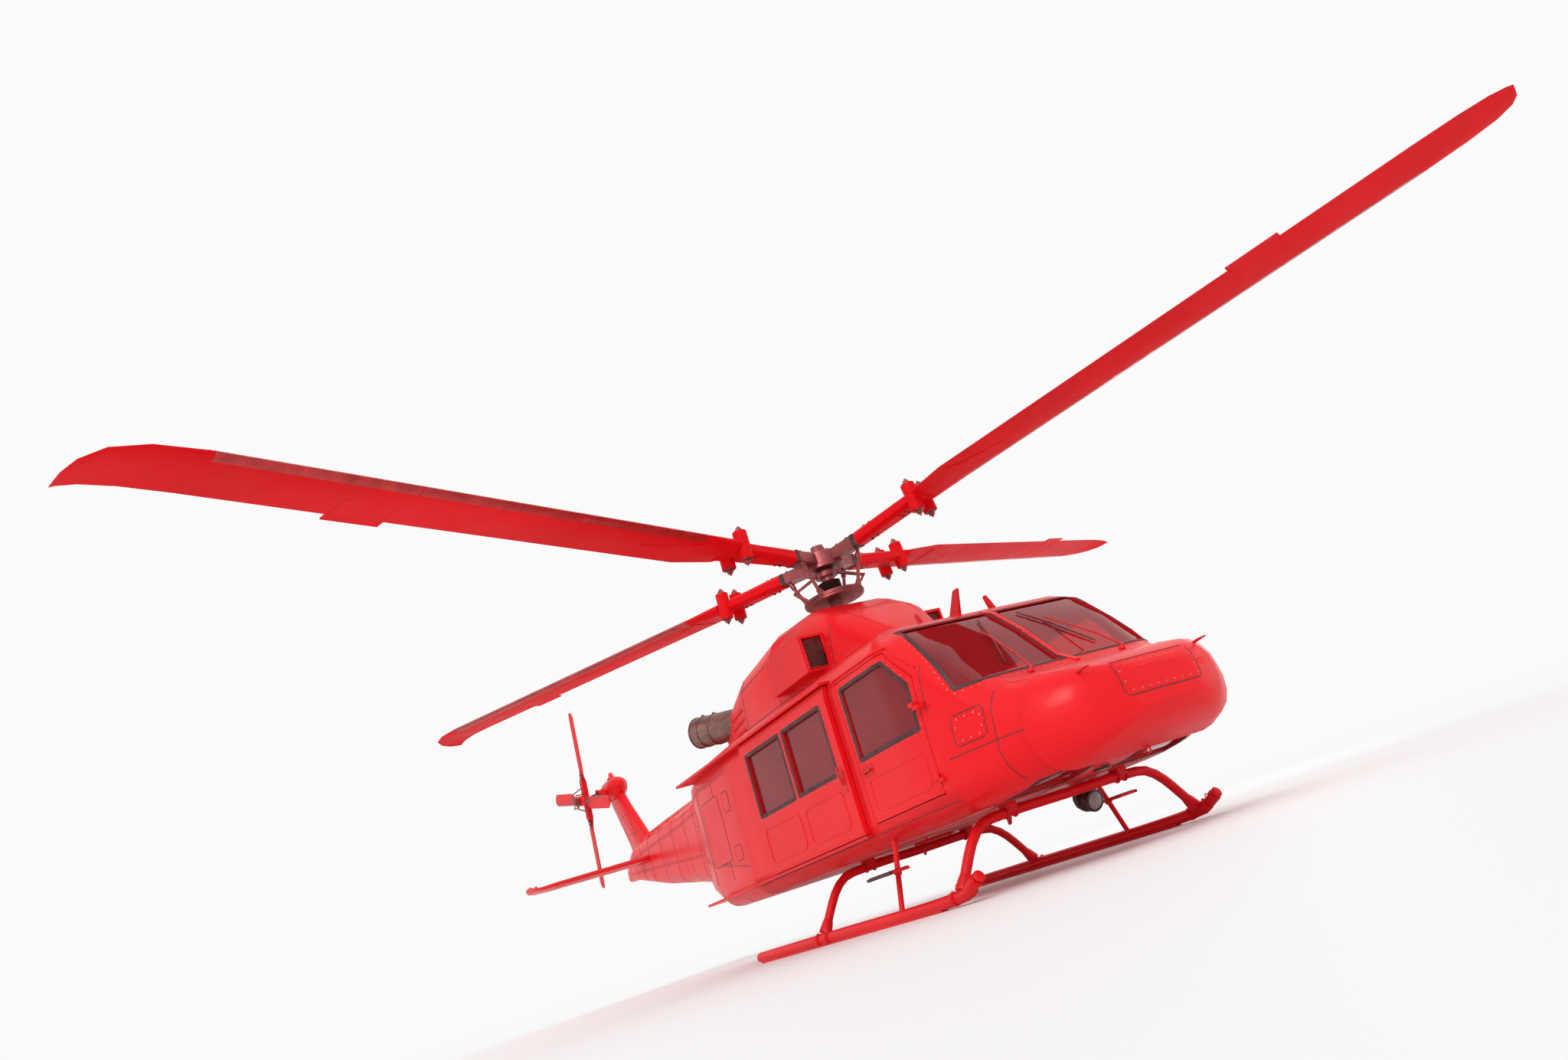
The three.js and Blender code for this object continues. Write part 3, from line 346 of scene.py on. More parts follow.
def smoothing_group():
    """Geometry nodes that weld a mesh's loose faces and shade it smooth below an edge angle."""
    group = bpy.data.node_groups.new("weld_and_smooth", "GeometryNodeTree")
    for way in ("INPUT", "OUTPUT"):
        group.interface.new_socket("Geometry", in_out=way, socket_type="NodeSocketGeometry")
    entry, weld, faces, creases, leave, edge_angle, compare = map(group.nodes.new, (
        "NodeGroupInput", "GeometryNodeMergeByDistance", "GeometryNodeSetShadeSmooth",
        "GeometryNodeSetShadeSmooth", "NodeGroupOutput", "GeometryNodeInputMeshEdgeAngle", "FunctionNodeCompare"))
    weld.inputs["Distance"].default_value = WELD
    creases.domain = "EDGE"
    creases.inputs["Shade Smooth"].default_value = False
    compare.operation = "GREATER_THAN"
    compare.inputs["B"].default_value = SMOOTH_ANGLE
    group.links.new(edge_angle.outputs["Unsigned Angle"], compare.inputs["A"])
    group.links.new(compare.outputs["Result"], creases.inputs["Selection"])
    for source, target in ((entry, weld), (weld, faces), (faces, creases), (creases, leave)):
        group.links.new(source.outputs[0], target.inputs[0])
    return group


def dress_nodes():
    slots = {row["node"]: row["material_slot"] for row in frame["record"]["subparts"]}
    smoothing = smoothing_group()
    for name, obj in nodes.items():
        mesh = obj.data
        for attribute in ("custom_normal", "sharp_face", "sharp_edge"):
            if attribute in mesh.attributes:
                mesh.attributes.remove(mesh.attributes[attribute])
        obj.modifiers.new("smooth", "NODES").node_group = smoothing
        obj.modifiers.new("weighted", "WEIGHTED_NORMAL").keep_sharp = True
        mesh.materials.clear()
        mesh.materials.append(LOOKS[slots[name]])


# Mesh code shared by the pieces
THINNEST = 1e-4
SUNK, PLATE_SUNK = -2, -3
LONGEST_HOP = 0.25


def turns(count, start=0.0):
    return [start + 2 * pi * k / count for k in range(count)]


def neighbours(row, i, closed=False):
    """What lies before and after a place in a row, which is that place itself at an open end."""
    after = row[(i + 1) % len(row)] if i + 1 < len(row) or closed else row[i]
    return row[i - 1] if i or closed else row[i], after


def moved(trail, lift=0.0, shift=(0, 0, 0)):
    """A trail of (point, normal) pairs lifted off its surface and shifted."""
    return [(point + normal * (lift / MM) + Vector(shift), normal) for point, normal in trail]


def beside(trail, offset):
    """A trail moved sideways on its surface."""
    found, points = [], [point for point, _ in trail]
    for i, (point, normal) in enumerate(trail):
        before, after = neighbours(points, i)
        found.append((point + normal.cross(after - before).normalized() * (offset / MM), normal))
    return found


class Form:
    """A piece under construction. Its shapes are placed by self.at, and made() turns them into an object."""

    waiting = []

    def __init__(self, name, look, body="airframe", crease=35):
        self.name, self.look, self.body, self.crease = name, look, body, crease
        self.points, self.faces, self.at = [], [], Matrix.Identity(4)
        Form.waiting.append(self)

    def add(self, points, faces):
        start = len(self.points)
        self.points += [self.at @ Vector(point) for point in points]
        self.faces += [tuple(start + index for index in face) for face in faces]

    def rings(self, rings, closed=False):
        """A skin through rings of equally many points, round again to the first or with its ends capped."""
        count, faces = len(rings[0]), []
        for i in range(len(rings) if closed else len(rings) - 1):
            a, b = i * count, (i + 1) % len(rings) * count
            faces += [(a + j, a + (j + 1) % count, b + (j + 1) % count, b + j) for j in range(count)]
        if not closed:
            last = (len(rings) - 1) * count
            faces += [tuple(reversed(range(count))), tuple(range(last, last + count))]
        self.add([point for ring in rings for point in ring], faces)

    def sheet(self, rows):
        """An open skin over rows of equally many points."""
        count = len(rows[0])
        self.add([point for row in rows for point in row],
                 [(i * count + j, i * count + j + 1, (i + 1) * count + j + 1, (i + 1) * count + j)
                  for i in range(len(rows) - 1) for j in range(count - 1)])

    def tube(self, path, radius, sides=10, closed=False):
        """A round tube along a path, with one radius or one for each of its points."""
        path, side, rings = [Vector(point) for point in path], None, []
        for i, point in enumerate(path):
            before, after = neighbours(path, i, closed)
            along = (after - before).normalized()
            side = along.orthogonal() if side is None else side
            side = (side - along * side.dot(along)).normalized()
            up = along.cross(side)
            reach = (radius[i] if isinstance(radius, tuple) else radius) / MM
            rings.append([point + reach * (cos(t) * side + sin(t) * up) for t in turns(sides)])
        self.rings(rings, closed)

    def turned(self, place, axis, sides, *profile):
        """A profile spun about the axis through a place."""
        start, along = Vector(place), Vector(axis).normalized()
        side = along.orthogonal().normalized()
        up = along.cross(side)
        self.rings([[start + h / MM * along + max(r / MM, THINNEST) * (cos(t) * side + sin(t) * up)
                     for t in turns(sides)] for h, r in profile])

    def bolt(self, place, axis, size, height):
        """A hexagon head on its washer."""
        self.turned(place, axis, 12, (-1, size * 1.35), (2, size * 1.35), (2, size * 1.3))
        self.turned(place, axis, 6, (1, size), (height * 0.8, size), (height, size * 0.8))

    def block(self, corner, opposite, chamfer):
        """A box with its corners and edges cut."""
        (x0, y0, z0), (x1, y1, z1) = map(min, corner, opposite), map(max, corner, opposite)
        cut = min(chamfer / MM, (x1 - x0) / 3, (y1 - y0) / 3, (z1 - z0) / 3)
        self.rings([[(x, y, z) for x, y in rectangle(x0 + into, x1 - into, y0 + into, y1 - into, cut)]
                    for z, into in ((z0, cut), (z0 + cut, 0), (z1 - cut, 0), (z1, cut))])

    def bar(self, start, end, width, thick, flat=UP, taper=1.0):
        """A flat bar between two places, its broad face towards flat."""
        start, end = Vector(start), Vector(end)
        along = (end - start).normalized()
        side = along.cross(Vector(flat)).normalized()
        up = side.cross(along)
        rings = []
        for place, scale in ((start, 1.0), (end, taper)):
            across, high = side * (width / MM) * scale / 2, up * (thick / MM) * scale / 2
            rings.append([place - across - high, place + across - high,
                          place + across + high, place - across + high])
        self.rings(rings)

    def ribbon(self, trail, width, lift, closed=False):
        """A low strip with bevelled sides along a trail."""
        rings, points = [], [point for point, _ in trail]
        for i, (point, normal) in enumerate(trail):
            before, after = neighbours(points, i, closed)
            side = normal.cross(after - before).normalized() * (width / MM)
            rings.append([point + side * across + normal * (rise / MM) for across, rise in
                          ((-0.5, SUNK), (-0.38, lift), (0.38, lift), (0.5, SUNK))])
        if len(trail) > 1:
            self.rings(rings, closed)

    def studs(self, trail, spacing, radius=6, height=2.2, sides=6):
        """Domed rivet or screw heads at even spacing along a trail."""
        spacing /= MM
        since = spacing / 2
        for (a, normal), (b, _) in zip(trail, trail[1:]):
            length = (b - a).length
            if length > LONGEST_HOP:
                continue
            while since <= length:
                self.turned(a.lerp(b, since / max(length, 1e-6)), normal, sides,
                            (-1, radius), (height * 0.55, radius * 0.86), (height, radius * 0.4))
                since += spacing
            since -= length

    def line(self, skin, view, outline, width, lift, closed=False, step=0.05):
        """A ribbon along a line drawn in a view of a skin. Its trail comes back."""
        trail = skin.trail(view, outline, closed, step)
        self.ribbon(trail, width, lift, closed)
        return trail

    def row(self, skin, view, outline, spacing, *size, closed=False, step=0.05):
        """Studs along a line drawn in a view of a skin."""
        self.studs(skin.trail(view, outline, closed, step), spacing, *size)

    def plate(self, skin, view, corners, lift, steps):
        """A thin plate over four corners drawn in a view, where the skin lies under the whole of it."""
        a, b, c, d = (Vector((*corner, 0)) for corner in corners)
        across, along = (
            [(0.0, True), *((k / count, False) for k in range(count + 1)), (1.0, True)] for count in steps)
        rows = []
        for u, low_u in across:
            row = []
            for v, low_v in along:
                p, q, _ = a.lerp(b, u).lerp(d.lerp(c, u), v)
                found = skin.hit(view, p, q)
                if not found:
                    return
                row.append(found[0] + found[1] * ((PLATE_SUNK if low_u or low_v else lift) / MM))
            rows.append(row)
        self.sheet(rows)

    def made(self):
        Form.waiting.remove(self)
        mesh = bpy.data.meshes.new(self.name)
        mesh.from_pydata(self.points, [], self.faces)
        work = bmesh.new()
        work.from_mesh(mesh)
        bmesh.ops.recalc_face_normals(work, faces=work.faces)
        for face in work.faces:
            face.smooth = True
        for edge in work.edges:
            edge.smooth = edge.calc_face_angle(pi) < radians(self.crease)
        work.to_mesh(mesh)
        work.free()
        mesh.materials.append(LOOKS[self.look])
        obj = placed(self.name, mesh)
        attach(obj, self.body)
        return obj


def forms(body="airframe", suffix="", /, **looks):
    """The forms of one body, given as name=look. A suffix, such as the side, ends every name."""
    return [Form(f"{name}_{suffix}" if suffix else name, look, body) for name, look in looks.items()]


# Views of the surface: a 2-D place becomes the start of a ray, and all rays of a view run the same way.
OUT_SIDE, OVER, UNDER, IN_FRONT = 4, 6, -1, 9
VIEWS = {
    "left": (lambda x, z: Vector((x, OUT_SIDE, z)), -ACROSS),
    "right": (lambda x, z: Vector((x, -OUT_SIDE, z)), ACROSS),
    "top": (lambda x, y: Vector((x, y, OVER)), DOWN),
    "below": (lambda x, y: Vector((x, y, UNDER)), UP),
    "front": (lambda y, z: Vector((IN_FRONT, y, z)), BACK),
}
FLAT, CORNER_HOP, HALVINGS = 0.9995, 0.2, 7


def followed(hit_at, steps):
    """The hits at some steps, and one more wherever the surface turns a corner between two of them."""
    found = [hit_at(steps[0])]
    for start, end in zip(steps, steps[1:]):
        first, last = found[-1], hit_at(end)
        if first and last and first[1].dot(last[1]) < FLAT and (first[0] - last[0]).length < CORNER_HOP:
            low, high = (start, first), (end, last)
            for _ in range(HALVINGS):
                middle = (low[0] + high[0]) / 2
                hit = hit_at(middle)
                if not hit:
                    break
                nearer_first = hit[1].dot(first[1]) > hit[1].dot(last[1])
                low, high = ((middle, hit), high) if nearer_first else (low, (middle, hit))
            found.append((low[1][0].lerp(high[1][0], 0.5), (low[1][1] + high[1][1]).normalized()))
        found.append(last)
    return found


class Skin:
    """The CAD surface of some nodes at rest, which details are laid on."""

    def __init__(self, *names):
        points, faces = [], []
        for name in names:
            obj, start = nodes[name], len(points)
            points += [obj.matrix_world @ vertex.co for vertex in obj.data.vertices]
            faces += [tuple(start + index for index in polygon.vertices) for polygon in obj.data.polygons]
        self.tree = BVHTree.FromPolygons(points, faces)

    def cast(self, start, direction):
        """Where a ray meets the skin, and the normal there that faces it."""
        place, normal, *_ = self.tree.ray_cast(start, direction)
        return None if place is None else (place, -normal if normal.dot(direction) > 0 else normal)

    def hit(self, view, p, q):
        to_start, direction = VIEWS[view] if isinstance(view, str) else view
        return self.cast(to_start(p, q), direction)

    def trail(self, view, outline, closed=False, step=0.05):
        """(point, normal) pairs under a line drawn in a view."""
        corners = [Vector(corner) for corner in outline]
        if closed:
            corners.append(corners[0])
        found = []
        for a, b in zip(corners, corners[1:]):
            count = max(1, round((b - a).length / step))
            shares = [k / count for k in range(count + 1)]
            found += followed(lambda t, a=a, b=b: self.hit(view, *a.lerp(b, t)), shares)[:-1]
        if not closed:
            found.append(self.hit(view, *corners[-1]))
        return [hit for hit in found if hit]

    def around(self, x, centre_z):
        """(point, normal) pairs right round the body at one place along it, from below by way of port."""
        def at(angle):
            out = Vector((0, cos(angle), sin(angle)))
            return self.cast(Vector((x, 0, centre_z)) + out * OUT_SIDE, -out)

        return [hit for hit in followed(at, [radians(angle) for angle in range(-90, 271, 5)]) if hit]


def hull(points):
    """The convex outline round 2-D points, anticlockwise."""
    points = sorted({(round(p, 4), round(q, 4)) for p, q in points})

    def half(row):
        line = []
        for p in row:
            while len(line) > 1 and ((line[-1][0] - line[-2][0]) * (p[1] - line[-2][1])
                                     <= (line[-1][1] - line[-2][1]) * (p[0] - line[-2][0])):
                line.pop()
            line.append(p)
        return line[:-1]

    return half(points) + half(points[::-1])


def grown(outline, by):
    """A convex anticlockwise outline moved outwards by a distance in metres."""
    made = []
    for i, corner in enumerate(outline):
        before, after = (Vector(other) for other in neighbours(outline, i, True))
        p = Vector(corner)
        a, b = (p - before).normalized(), (after - p).normalized()
        n1, n2 = Vector((a.y, -a.x)), Vector((b.y, -b.x))
        made.append(tuple(p + (n1 + n2) * (by / (1 + n1.dot(n2)))))
    return made


def outline_of(name, first, second):
    """The convex outline of a node in the plane of two axes."""
    places = [nodes[name].matrix_world @ vertex.co for vertex in nodes[name].data.vertices]
    return hull([(place[first], place[second]) for place in places])


aim_camera()
set_stage()
dress_nodes()
bpy.context.view_layer.update()
HULL = ("nose_shell", "cabin_shell", "cabin_floor", "aft_fuselage", "tail_boom")
BODY_SKIN = Skin(*HULL)
GLAZED_SKIN = Skin(*HULL, "windscreen_left", "windscreen_right")
COWLING_SKIN = Skin("mast_fairing", "engine_cowling")
FIN_SKIN = Skin("tail_fin", "tail_gearbox")
DOOR_SKINS, CREW_DOOR_SKINS, STABILISER_SKINS, SKID_SKINS = (
    {side: Skin(f"{name}_{side}") for side, _ in SIDES}
    for name in ("cabin_door", "crew_door", "stabiliser", "skid"))


def raised(trail, lift):
    """The points of a trail, lifted off its surface."""
    return [point for point, _ in moved(trail, lift)]


def offsets(place, *steps):
    """The places at some steps from a place."""
    return [place + Vector(step) for step in steps]


def spoke(angle):
    """The level direction at an angle from straight ahead."""
    return Vector((cos(angle), sin(angle), 0))


def collar(half, inner, outer, step):
    """The profile of a collar on a tube, with sloping sides."""
    return (-half, inner), (step - half, outer), (half - step, outer), (half, inner)


def footprint(name):
    """The middle of a node's box seen from above, and its bottom."""
    low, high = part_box(name)
    return (low.x + high.x) / 2, (low.y + high.y) / 2, low.z


# Glazing: rubber seals round every pane, screws outside them, the wipers and the centre post
SEAL, SEAL_OUT, SCREWS_OUT = (40, 5), 0.015, 0.048
FIXED_SCREWS, DOOR_SCREWS = 70, 90
DOOR_WINDOWS = ((0.16, 0.99), (1.11, 1.94))
DOOR_WINDOW_Z = (0.595, 1.205)
WIPER = {"pivot": (0.50, 1.50), "tip": (0.36, 2.02), "blade": ((0.50, 1.66), (0.22, 2.16))}


def seal(form, screws, skin, view, outline, spacing=FIXED_SCREWS):
    form.line(skin, view, grown(outline, SEAL_OUT), *SEAL, True, 0.03)
    screws.row(skin, view, grown(outline, SCREWS_OUT), spacing, 7, closed=True, step=0.04)


def glazing():
    seals, screws = forms(glazing_seals="rubber", glazing_screws="steel")
    for side, _ in SIDES:
        seal(seals, screws, BODY_SKIN, "front", outline_of(f"windscreen_{side}", 1, 2))
        seal(seals, screws, BODY_SKIN, "below", outline_of(f"chin_window_{side}", 0, 1))
    for side, _ in SIDES:
        seals, screws = forms(f"crew_door_{side}", side, crew_window_seal="rubber", crew_window_screws="steel")
        seal(seals, screws, CREW_DOOR_SKINS[side], side, outline_of(f"crew_door_glass_{side}", 0, 2), DOOR_SCREWS)
        seals, screws = forms(f"cabin_door_{side}", side, cabin_window_seals="rubber", cabin_window_screws="steel")
        low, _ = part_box(f"cabin_door_{side}")
        bottom, top = (low.z + z for z in DOOR_WINDOW_Z)
        for rear, front in DOOR_WINDOWS:
            pane = rectangle(low.x + rear, low.x + front, bottom, top)
            seal(seals, screws, DOOR_SKINS[side], side, pane, DOOR_SCREWS)


def wipers():
    arms, blades = forms(wiper_arms="fittings", wiper_blades="rubber")
    for _, sign in SIDES:
        (pivot, normal), (tip, tip_normal) = (
            GLAZED_SKIN.hit("front", sign * WIPER[end][0], WIPER[end][1]) for end in ("pivot", "tip"))
        arms.turned(pivot, normal, 16, (-10, 30), (12, 30), (22, 22), (40, 16), (46, 10))
        arm = [pivot + normal * 0.036, pivot.lerp(tip, 0.3) + normal * 0.055, tip + tip_normal * 0.028]
        arms.tube(arm, (9, 8, 6), 8)
        trail = GLAZED_SKIN.trail("front", [(sign * y, z) for y, z in WIPER["blade"]], step=0.04)
        blades.tube(raised(trail, 14), 6, 6)
        arms.tube(raised(trail[2:-2], 24), 3.5, 6)
        for point, n in trail[2:-1:3]:
            arms.tube([point + n * 0.012, point + n * 0.026], 4, 6)


def centre_post():
    post, screws = forms(windscreen_post="paint", windscreen_post_screws="steel")
    trail = post.line(BODY_SKIN, "front", [(0, 1.50), (0, 2.28)], 56, 12, step=0.03)
    for offset in (-0.021, 0.021):
        screws.studs(moved(trail[2:-2], 10, (0, offset, 0)), 80)


# Skin joints with rivets beside them, drawn in side, bottom and top views in metres from the mast's axis
FRAMES = (-8.2, -7.72, -7.2, -6.5, -5.8, -5.1, -4.5, -3.905, -3.25, -2.6, -1.98)
SIDE_SEAMS = (
    [(-8.7, 2.02), (-3.9, 2.03), (-1.4, 2.04)], [(-8.7, 1.84), (-3.9, 1.42), (-1.4, 0.98)],
    [(2.75, 1.06), (3.44, 1.06)], [(3.22, 0.72), (3.22, 1.42)], [(1.36, 0.86), (1.36, 2.2)],
    [(-0.86, 0.86), (-0.86, 2.12)], [(2.66, 1.47), (2.66, 1.86)], [(-1.3, 0.745), (2.68, 0.745)])
BELLY_SEAMS = (*([(x, -1.02), (x, 1.02)] for x in (-1.35, -0.62, 0.62, 1.25, 1.9, 2.2, 2.705)),
               *([(-1.35, y), (2.7, y)] for y in (-0.78, -0.26, 0.26, 0.78)))
ROOF_SEAMS = (*([(-1.35, y), (2.1, y)] for y in (-0.93, 0.93)), *([(x, -0.93), (x, 0.93)] for x in (1.62, 2.12)))
SEAM, RIVET_ROWS, RIVETS = (9, 1.2), (-22, 22), 45
RADOME_SCREWS = (3.535, 1.05)
# The rails of the sliding doors stand out from the skin between these heights and places along the body
RAIL_BANDS = ((0.735, 0.790), (2.145, 2.200))
RAIL_REACH = (-2.75, 1.36)


def runs_off_rails(trail):
    """A trail cut into the stretches that lie on the skin itself."""
    runs = [[]]
    for point, normal in trail:
        alongside = RAIL_REACH[0] < point.x - MX < RAIL_REACH[1]
        if alongside and any(low < point.z < high for low, high in RAIL_BANDS):
            runs.append([])
        else:
            runs[-1].append((point, normal))
    return [run for run in runs if len(run) > 1]


def joints(seams, screws, skin, view, lines, seam, rows, *studs, step=0.05):
    """Seams along lines drawn in a view, with rows of rivets or screws beside them."""
    for points in lines:
        trail = seams.line(skin, view, drawn(points), *seam, step=step)
        for offset in rows:
            screws.studs(beside(trail, offset), *studs)


def hull_seams():
    seams, rivets = forms(skin_seams="rubber", skin_rivets="paint")
    for x in FRAMES:
        middle = (BODY_SKIN.hit("below", MX + x, 0)[0].z + BODY_SKIN.hit("top", MX + x, 0)[0].z) / 2
        for run in runs_off_rails(BODY_SKIN.around(MX + x, middle)):
            seams.ribbon(run, *SEAM)
            for offset in (-0.02, 0.02):
                rivets.studs(moved(run, shift=(offset, 0, 0)), RIVETS)
    for side, _ in SIDES:
        joints(seams, rivets, BODY_SKIN, side, SIDE_SEAMS, SEAM, RIVET_ROWS, RIVETS)
    rivets.studs(BODY_SKIN.around(MX + RADOME_SCREWS[0], RADOME_SCREWS[1]), 100, 9, 4, 8)
    joints(seams, rivets, BODY_SKIN, "below", BELLY_SEAMS, SEAM, RIVET_ROWS, RIVETS)
    joints(seams, rivets, BODY_SKIN, "top", ROOF_SEAMS, SEAM, RIVET_ROWS, RIVETS)


# Hatches: raised plates with rounded fasteners, each in a view
HATCHES = {
    "nose": ("front", (-0.40, 0.40, 1.02, 1.30)),
    "battery": ("left", (2.86, 3.16, 1.12, 1.36)),
    "service": ("right", (2.86, 3.16, 1.12, 1.36)),
    "baggage": ("right", (-2.52, -1.86, 1.12, 1.86)),
    "oxygen": ("left", (-2.52, -2.02, 1.16, 1.66)),
    "fuel_cap": ("right", (-1.72, -1.50, 1.62, 1.84)),
    "ground_power": ("right", (-1.72, -1.48, 1.08, 1.24)),
    "boom_left": ("left", (-4.42, -4.06, 1.52, 1.84)),
    "boom_right": ("right", (-4.42, -4.06, 1.52, 1.84)),
    "belly_front": ("below", (2.26, 2.62, -0.20, 0.20)),
    "belly_rear": ("below", (-1.22, -0.72, -0.19, 0.19)),
    "sump_left": ("below", (0.68, 1.16, 0.32, 0.70)),
    "sump_right": ("below", (0.68, 1.16, -0.70, -0.32)),
}


def hatches():
    plates, fasteners, lines = forms(hatch_plates="paint", hatch_fasteners="steel", hatch_lines="rubber")
    for view, (p0, p1, q0, q1) in HATCHES.values():
        if view != "front":
            p0, p1 = MX + p0, MX + p1
        plate, screwed = (rectangle(p0 + inset, p1 - inset, q0 + inset, q1 - inset) for inset in (0.012, 0.035))
        plates.plate(BODY_SKIN, view, plate, 2.5, (14, 8))
        lines.line(BODY_SKIN, view, rectangle(p0, p1, q0, q1, 0.03), 10, 1.2, True, 0.03)
        fasteners.row(BODY_SKIN, view, screwed, 85, 9, 5, 8, closed=True, step=0.04)


# Doors: lever handles on raised plates, stiffening frames pressed in the panels, rivets, and an inner lining
def lever(form, hit, rise, lift, reach, width, thick, taper, sides, *boss):
    """A lever on its boss, rise metres off the surface at its root and lift metres at its end, a reach away."""
    place, normal = hit
    form.turned(place, normal, sides, *boss)
    form.bar(place + normal * rise, place + normal * lift + Vector(reach), width, thick, normal, taper)


def door_fittings():
    for side, _ in SIDES:
        skin, (low, high) = CREW_DOOR_SKINS[side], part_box(f"crew_door_{side}")
        handle, lines, rivets = forms(f"crew_door_{side}", side, crew_door_handle="fittings",
                                      crew_door_pressing="paint", crew_door_rivets="paint")
        x, z = low.x + 0.07, low.z + 0.44
        handle.plate(skin, side, rectangle(x - 0.02, x + 0.16, z - 0.045, z + 0.045), 4, (8, 4))
        lever(handle, skin.hit(side, x, z), 0.022, 0.024, (0.13, 0, 0), 26, 9, 0.75,
              16, (0, 24), (14, 22), (20, 16))
        handle.turned(*skin.hit(side, x + 0.05, z - 0.10), 16, (-2, 14), (4, 14), (5, 9))
        lines.line(skin, side, rectangle(low.x + 0.10, low.x + 1.02, low.z + 0.08, low.z + 0.36, 0.04),
                   16, 4, True, 0.04)
        x0, x1, z0 = low.x + 0.025, low.x + 1.10, low.z + 0.025
        rivets.row(skin, side, [(x0, z0), (x1, z0), (x1, low.z + 0.54)], 45, step=0.04)
        rivets.row(skin, side, [(x0, z0), (x0, high.z - 0.03)], 45, step=0.04)

        skin, (low, high) = DOOR_SKINS[side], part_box(f"cabin_door_{side}")
        handle, lines, rivets = forms(f"cabin_door_{side}", side, cabin_door_handle="fittings",
                                      cabin_door_pressings="paint", cabin_door_rivets="paint")
        x, z = high.x - 0.10, low.z + 0.50
        handle.plate(skin, side, rectangle(x - 0.06, x + 0.05, z - 0.10, z + 0.10), 4, (6, 8))
        lever(handle, skin.hit(side, x, z), 0.024, 0.026, (0, 0, 0.14), 28, 10, 0.75,
              16, (0, 26), (16, 24), (24, 16))
        for x0, x1 in ((0.14, 0.98), (1.12, 1.92)):
            lines.line(skin, side, rectangle(low.x + x0, low.x + x1, low.z + 0.10, low.z + 0.44, 0.05),
                       18, 5, True, 0.04)
        border = rectangle(low.x + 0.022, high.x - 0.022, low.z + 0.022, low.z + 1.335)
        rivets.row(skin, side, border, 50, closed=True)
        post = low.x + (DOOR_WINDOWS[0][1] + DOOR_WINDOWS[1][0]) / 2
        for offset in (-0.02, 0.02):
            rivets.row(skin, side, [(post + offset, low.z + z) for z in (0.05, 1.3)], 50)


TRIM_LIFT, TRIM_Z, PULL_X, PULL_OFF = 7, (0.055, 0.40), (0.50, 0.82), 0.036


def door_linings():
    """Moulded trim with a pull bar and the inner latch lever on the inside of each crew door."""
    for side, sign in SIDES:
        trim, metal = forms(f"crew_door_{side}", side, crew_door_lining="liner", crew_door_pull="fittings")
        skin, (low, _) = CREW_DOOR_SKINS[side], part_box(f"crew_door_{side}")
        inner = (lambda x, z: Vector((x, 0, z))), Vector((0, sign, 0))
        x0, x1, z0, z1 = low.x + 0.07, low.x + 1.03, low.z + TRIM_Z[0], low.z + TRIM_Z[1]
        trim.plate(skin, inner, rectangle(x0, x1, z0, z1), TRIM_LIFT, (16, 12))
        for z in (z0 + 0.05, z1 - 0.04):
            trim.ribbon(moved(skin.trail(inner, [(x0 + 0.04, z), (x1 - 0.04, z)]), TRIM_LIFT), 22, 5)
        border = rectangle(x0 + 0.015, x1 - 0.015, z0 + 0.015, z1 - 0.015)
        metal.studs(moved(skin.trail(inner, border, True), TRIM_LIFT), 150)
        (a, normal), (b, _) = (skin.hit(inner, low.x + x, (z0 + z1) / 2 + 0.02) for x in PULL_X)
        off, bend = normal * PULL_OFF, (b - a).normalized() * 0.025
        metal.tube([a, a + off * 0.6, a + off + bend, b + off - bend, b + off * 0.6, b], 9)
        for place in (a, b):
            metal.turned(place, normal, 16, (0, 22), (TRIM_LIFT + 3, 22), (TRIM_LIFT + 6, 12))
        latch = skin.hit(inner, low.x + 0.16, low.z + 0.44)
        lever(metal, latch, 0.016, 0.022, (0.12, 0, -0.02), 24, 9, 0.7, 20, (-2, 32), (7, 30), (14, 20))


# Cowlings: latched joints, louvres, screened intakes with painted shade behind their screens, and lipped exhausts
# with soot and painted shade inside
COWLING_SIDE_SEAMS = (
    [(-0.455, 2.36), (-0.455, 3.1)], [(-2.9, 2.40), (-1.6, 2.42), (0.9, 2.42)], [(-1.45, 2.42), (-1.45, 2.98)],
    [(-1.45, 2.86), (-0.5, 2.92)], [(0.62, 2.42), (0.62, 2.88)], [(-2.4, 2.42), (-2.4, 2.76)])
COWLING_TOP_SEAMS = [[(x, -half), (x, half)] for x, half in ((-0.455, 0.60), (-1.45, 0.55), (0.62, 0.42))]
COWLING_SEAM, LATCH_ROWS, LATCHES = (10, 1.4), (26,), (110, 9, 4, 8)
LOUVRES = {"rows": 3, "count": 7, "from": (-2.05, 2.44), "pitch": (0.085, 0.11), "wide": 0.06, "tall": 0.085}
# back: how deep behind the intake's front the near-black plate of painted shade stands
INTAKE = {"front": 0.52, "inner": 0.625, "outer": 0.875, "bottom": 2.505, "top": 2.835, "screen": 0.035,
          "columns": 12, "rows": 15, "back": (0.545, 0.53), "gap": 0.002}
SCREEN_WIRE = (2.2, 5)
EXHAUST_RADIUS, EXHAUST_BORE = 190, 160


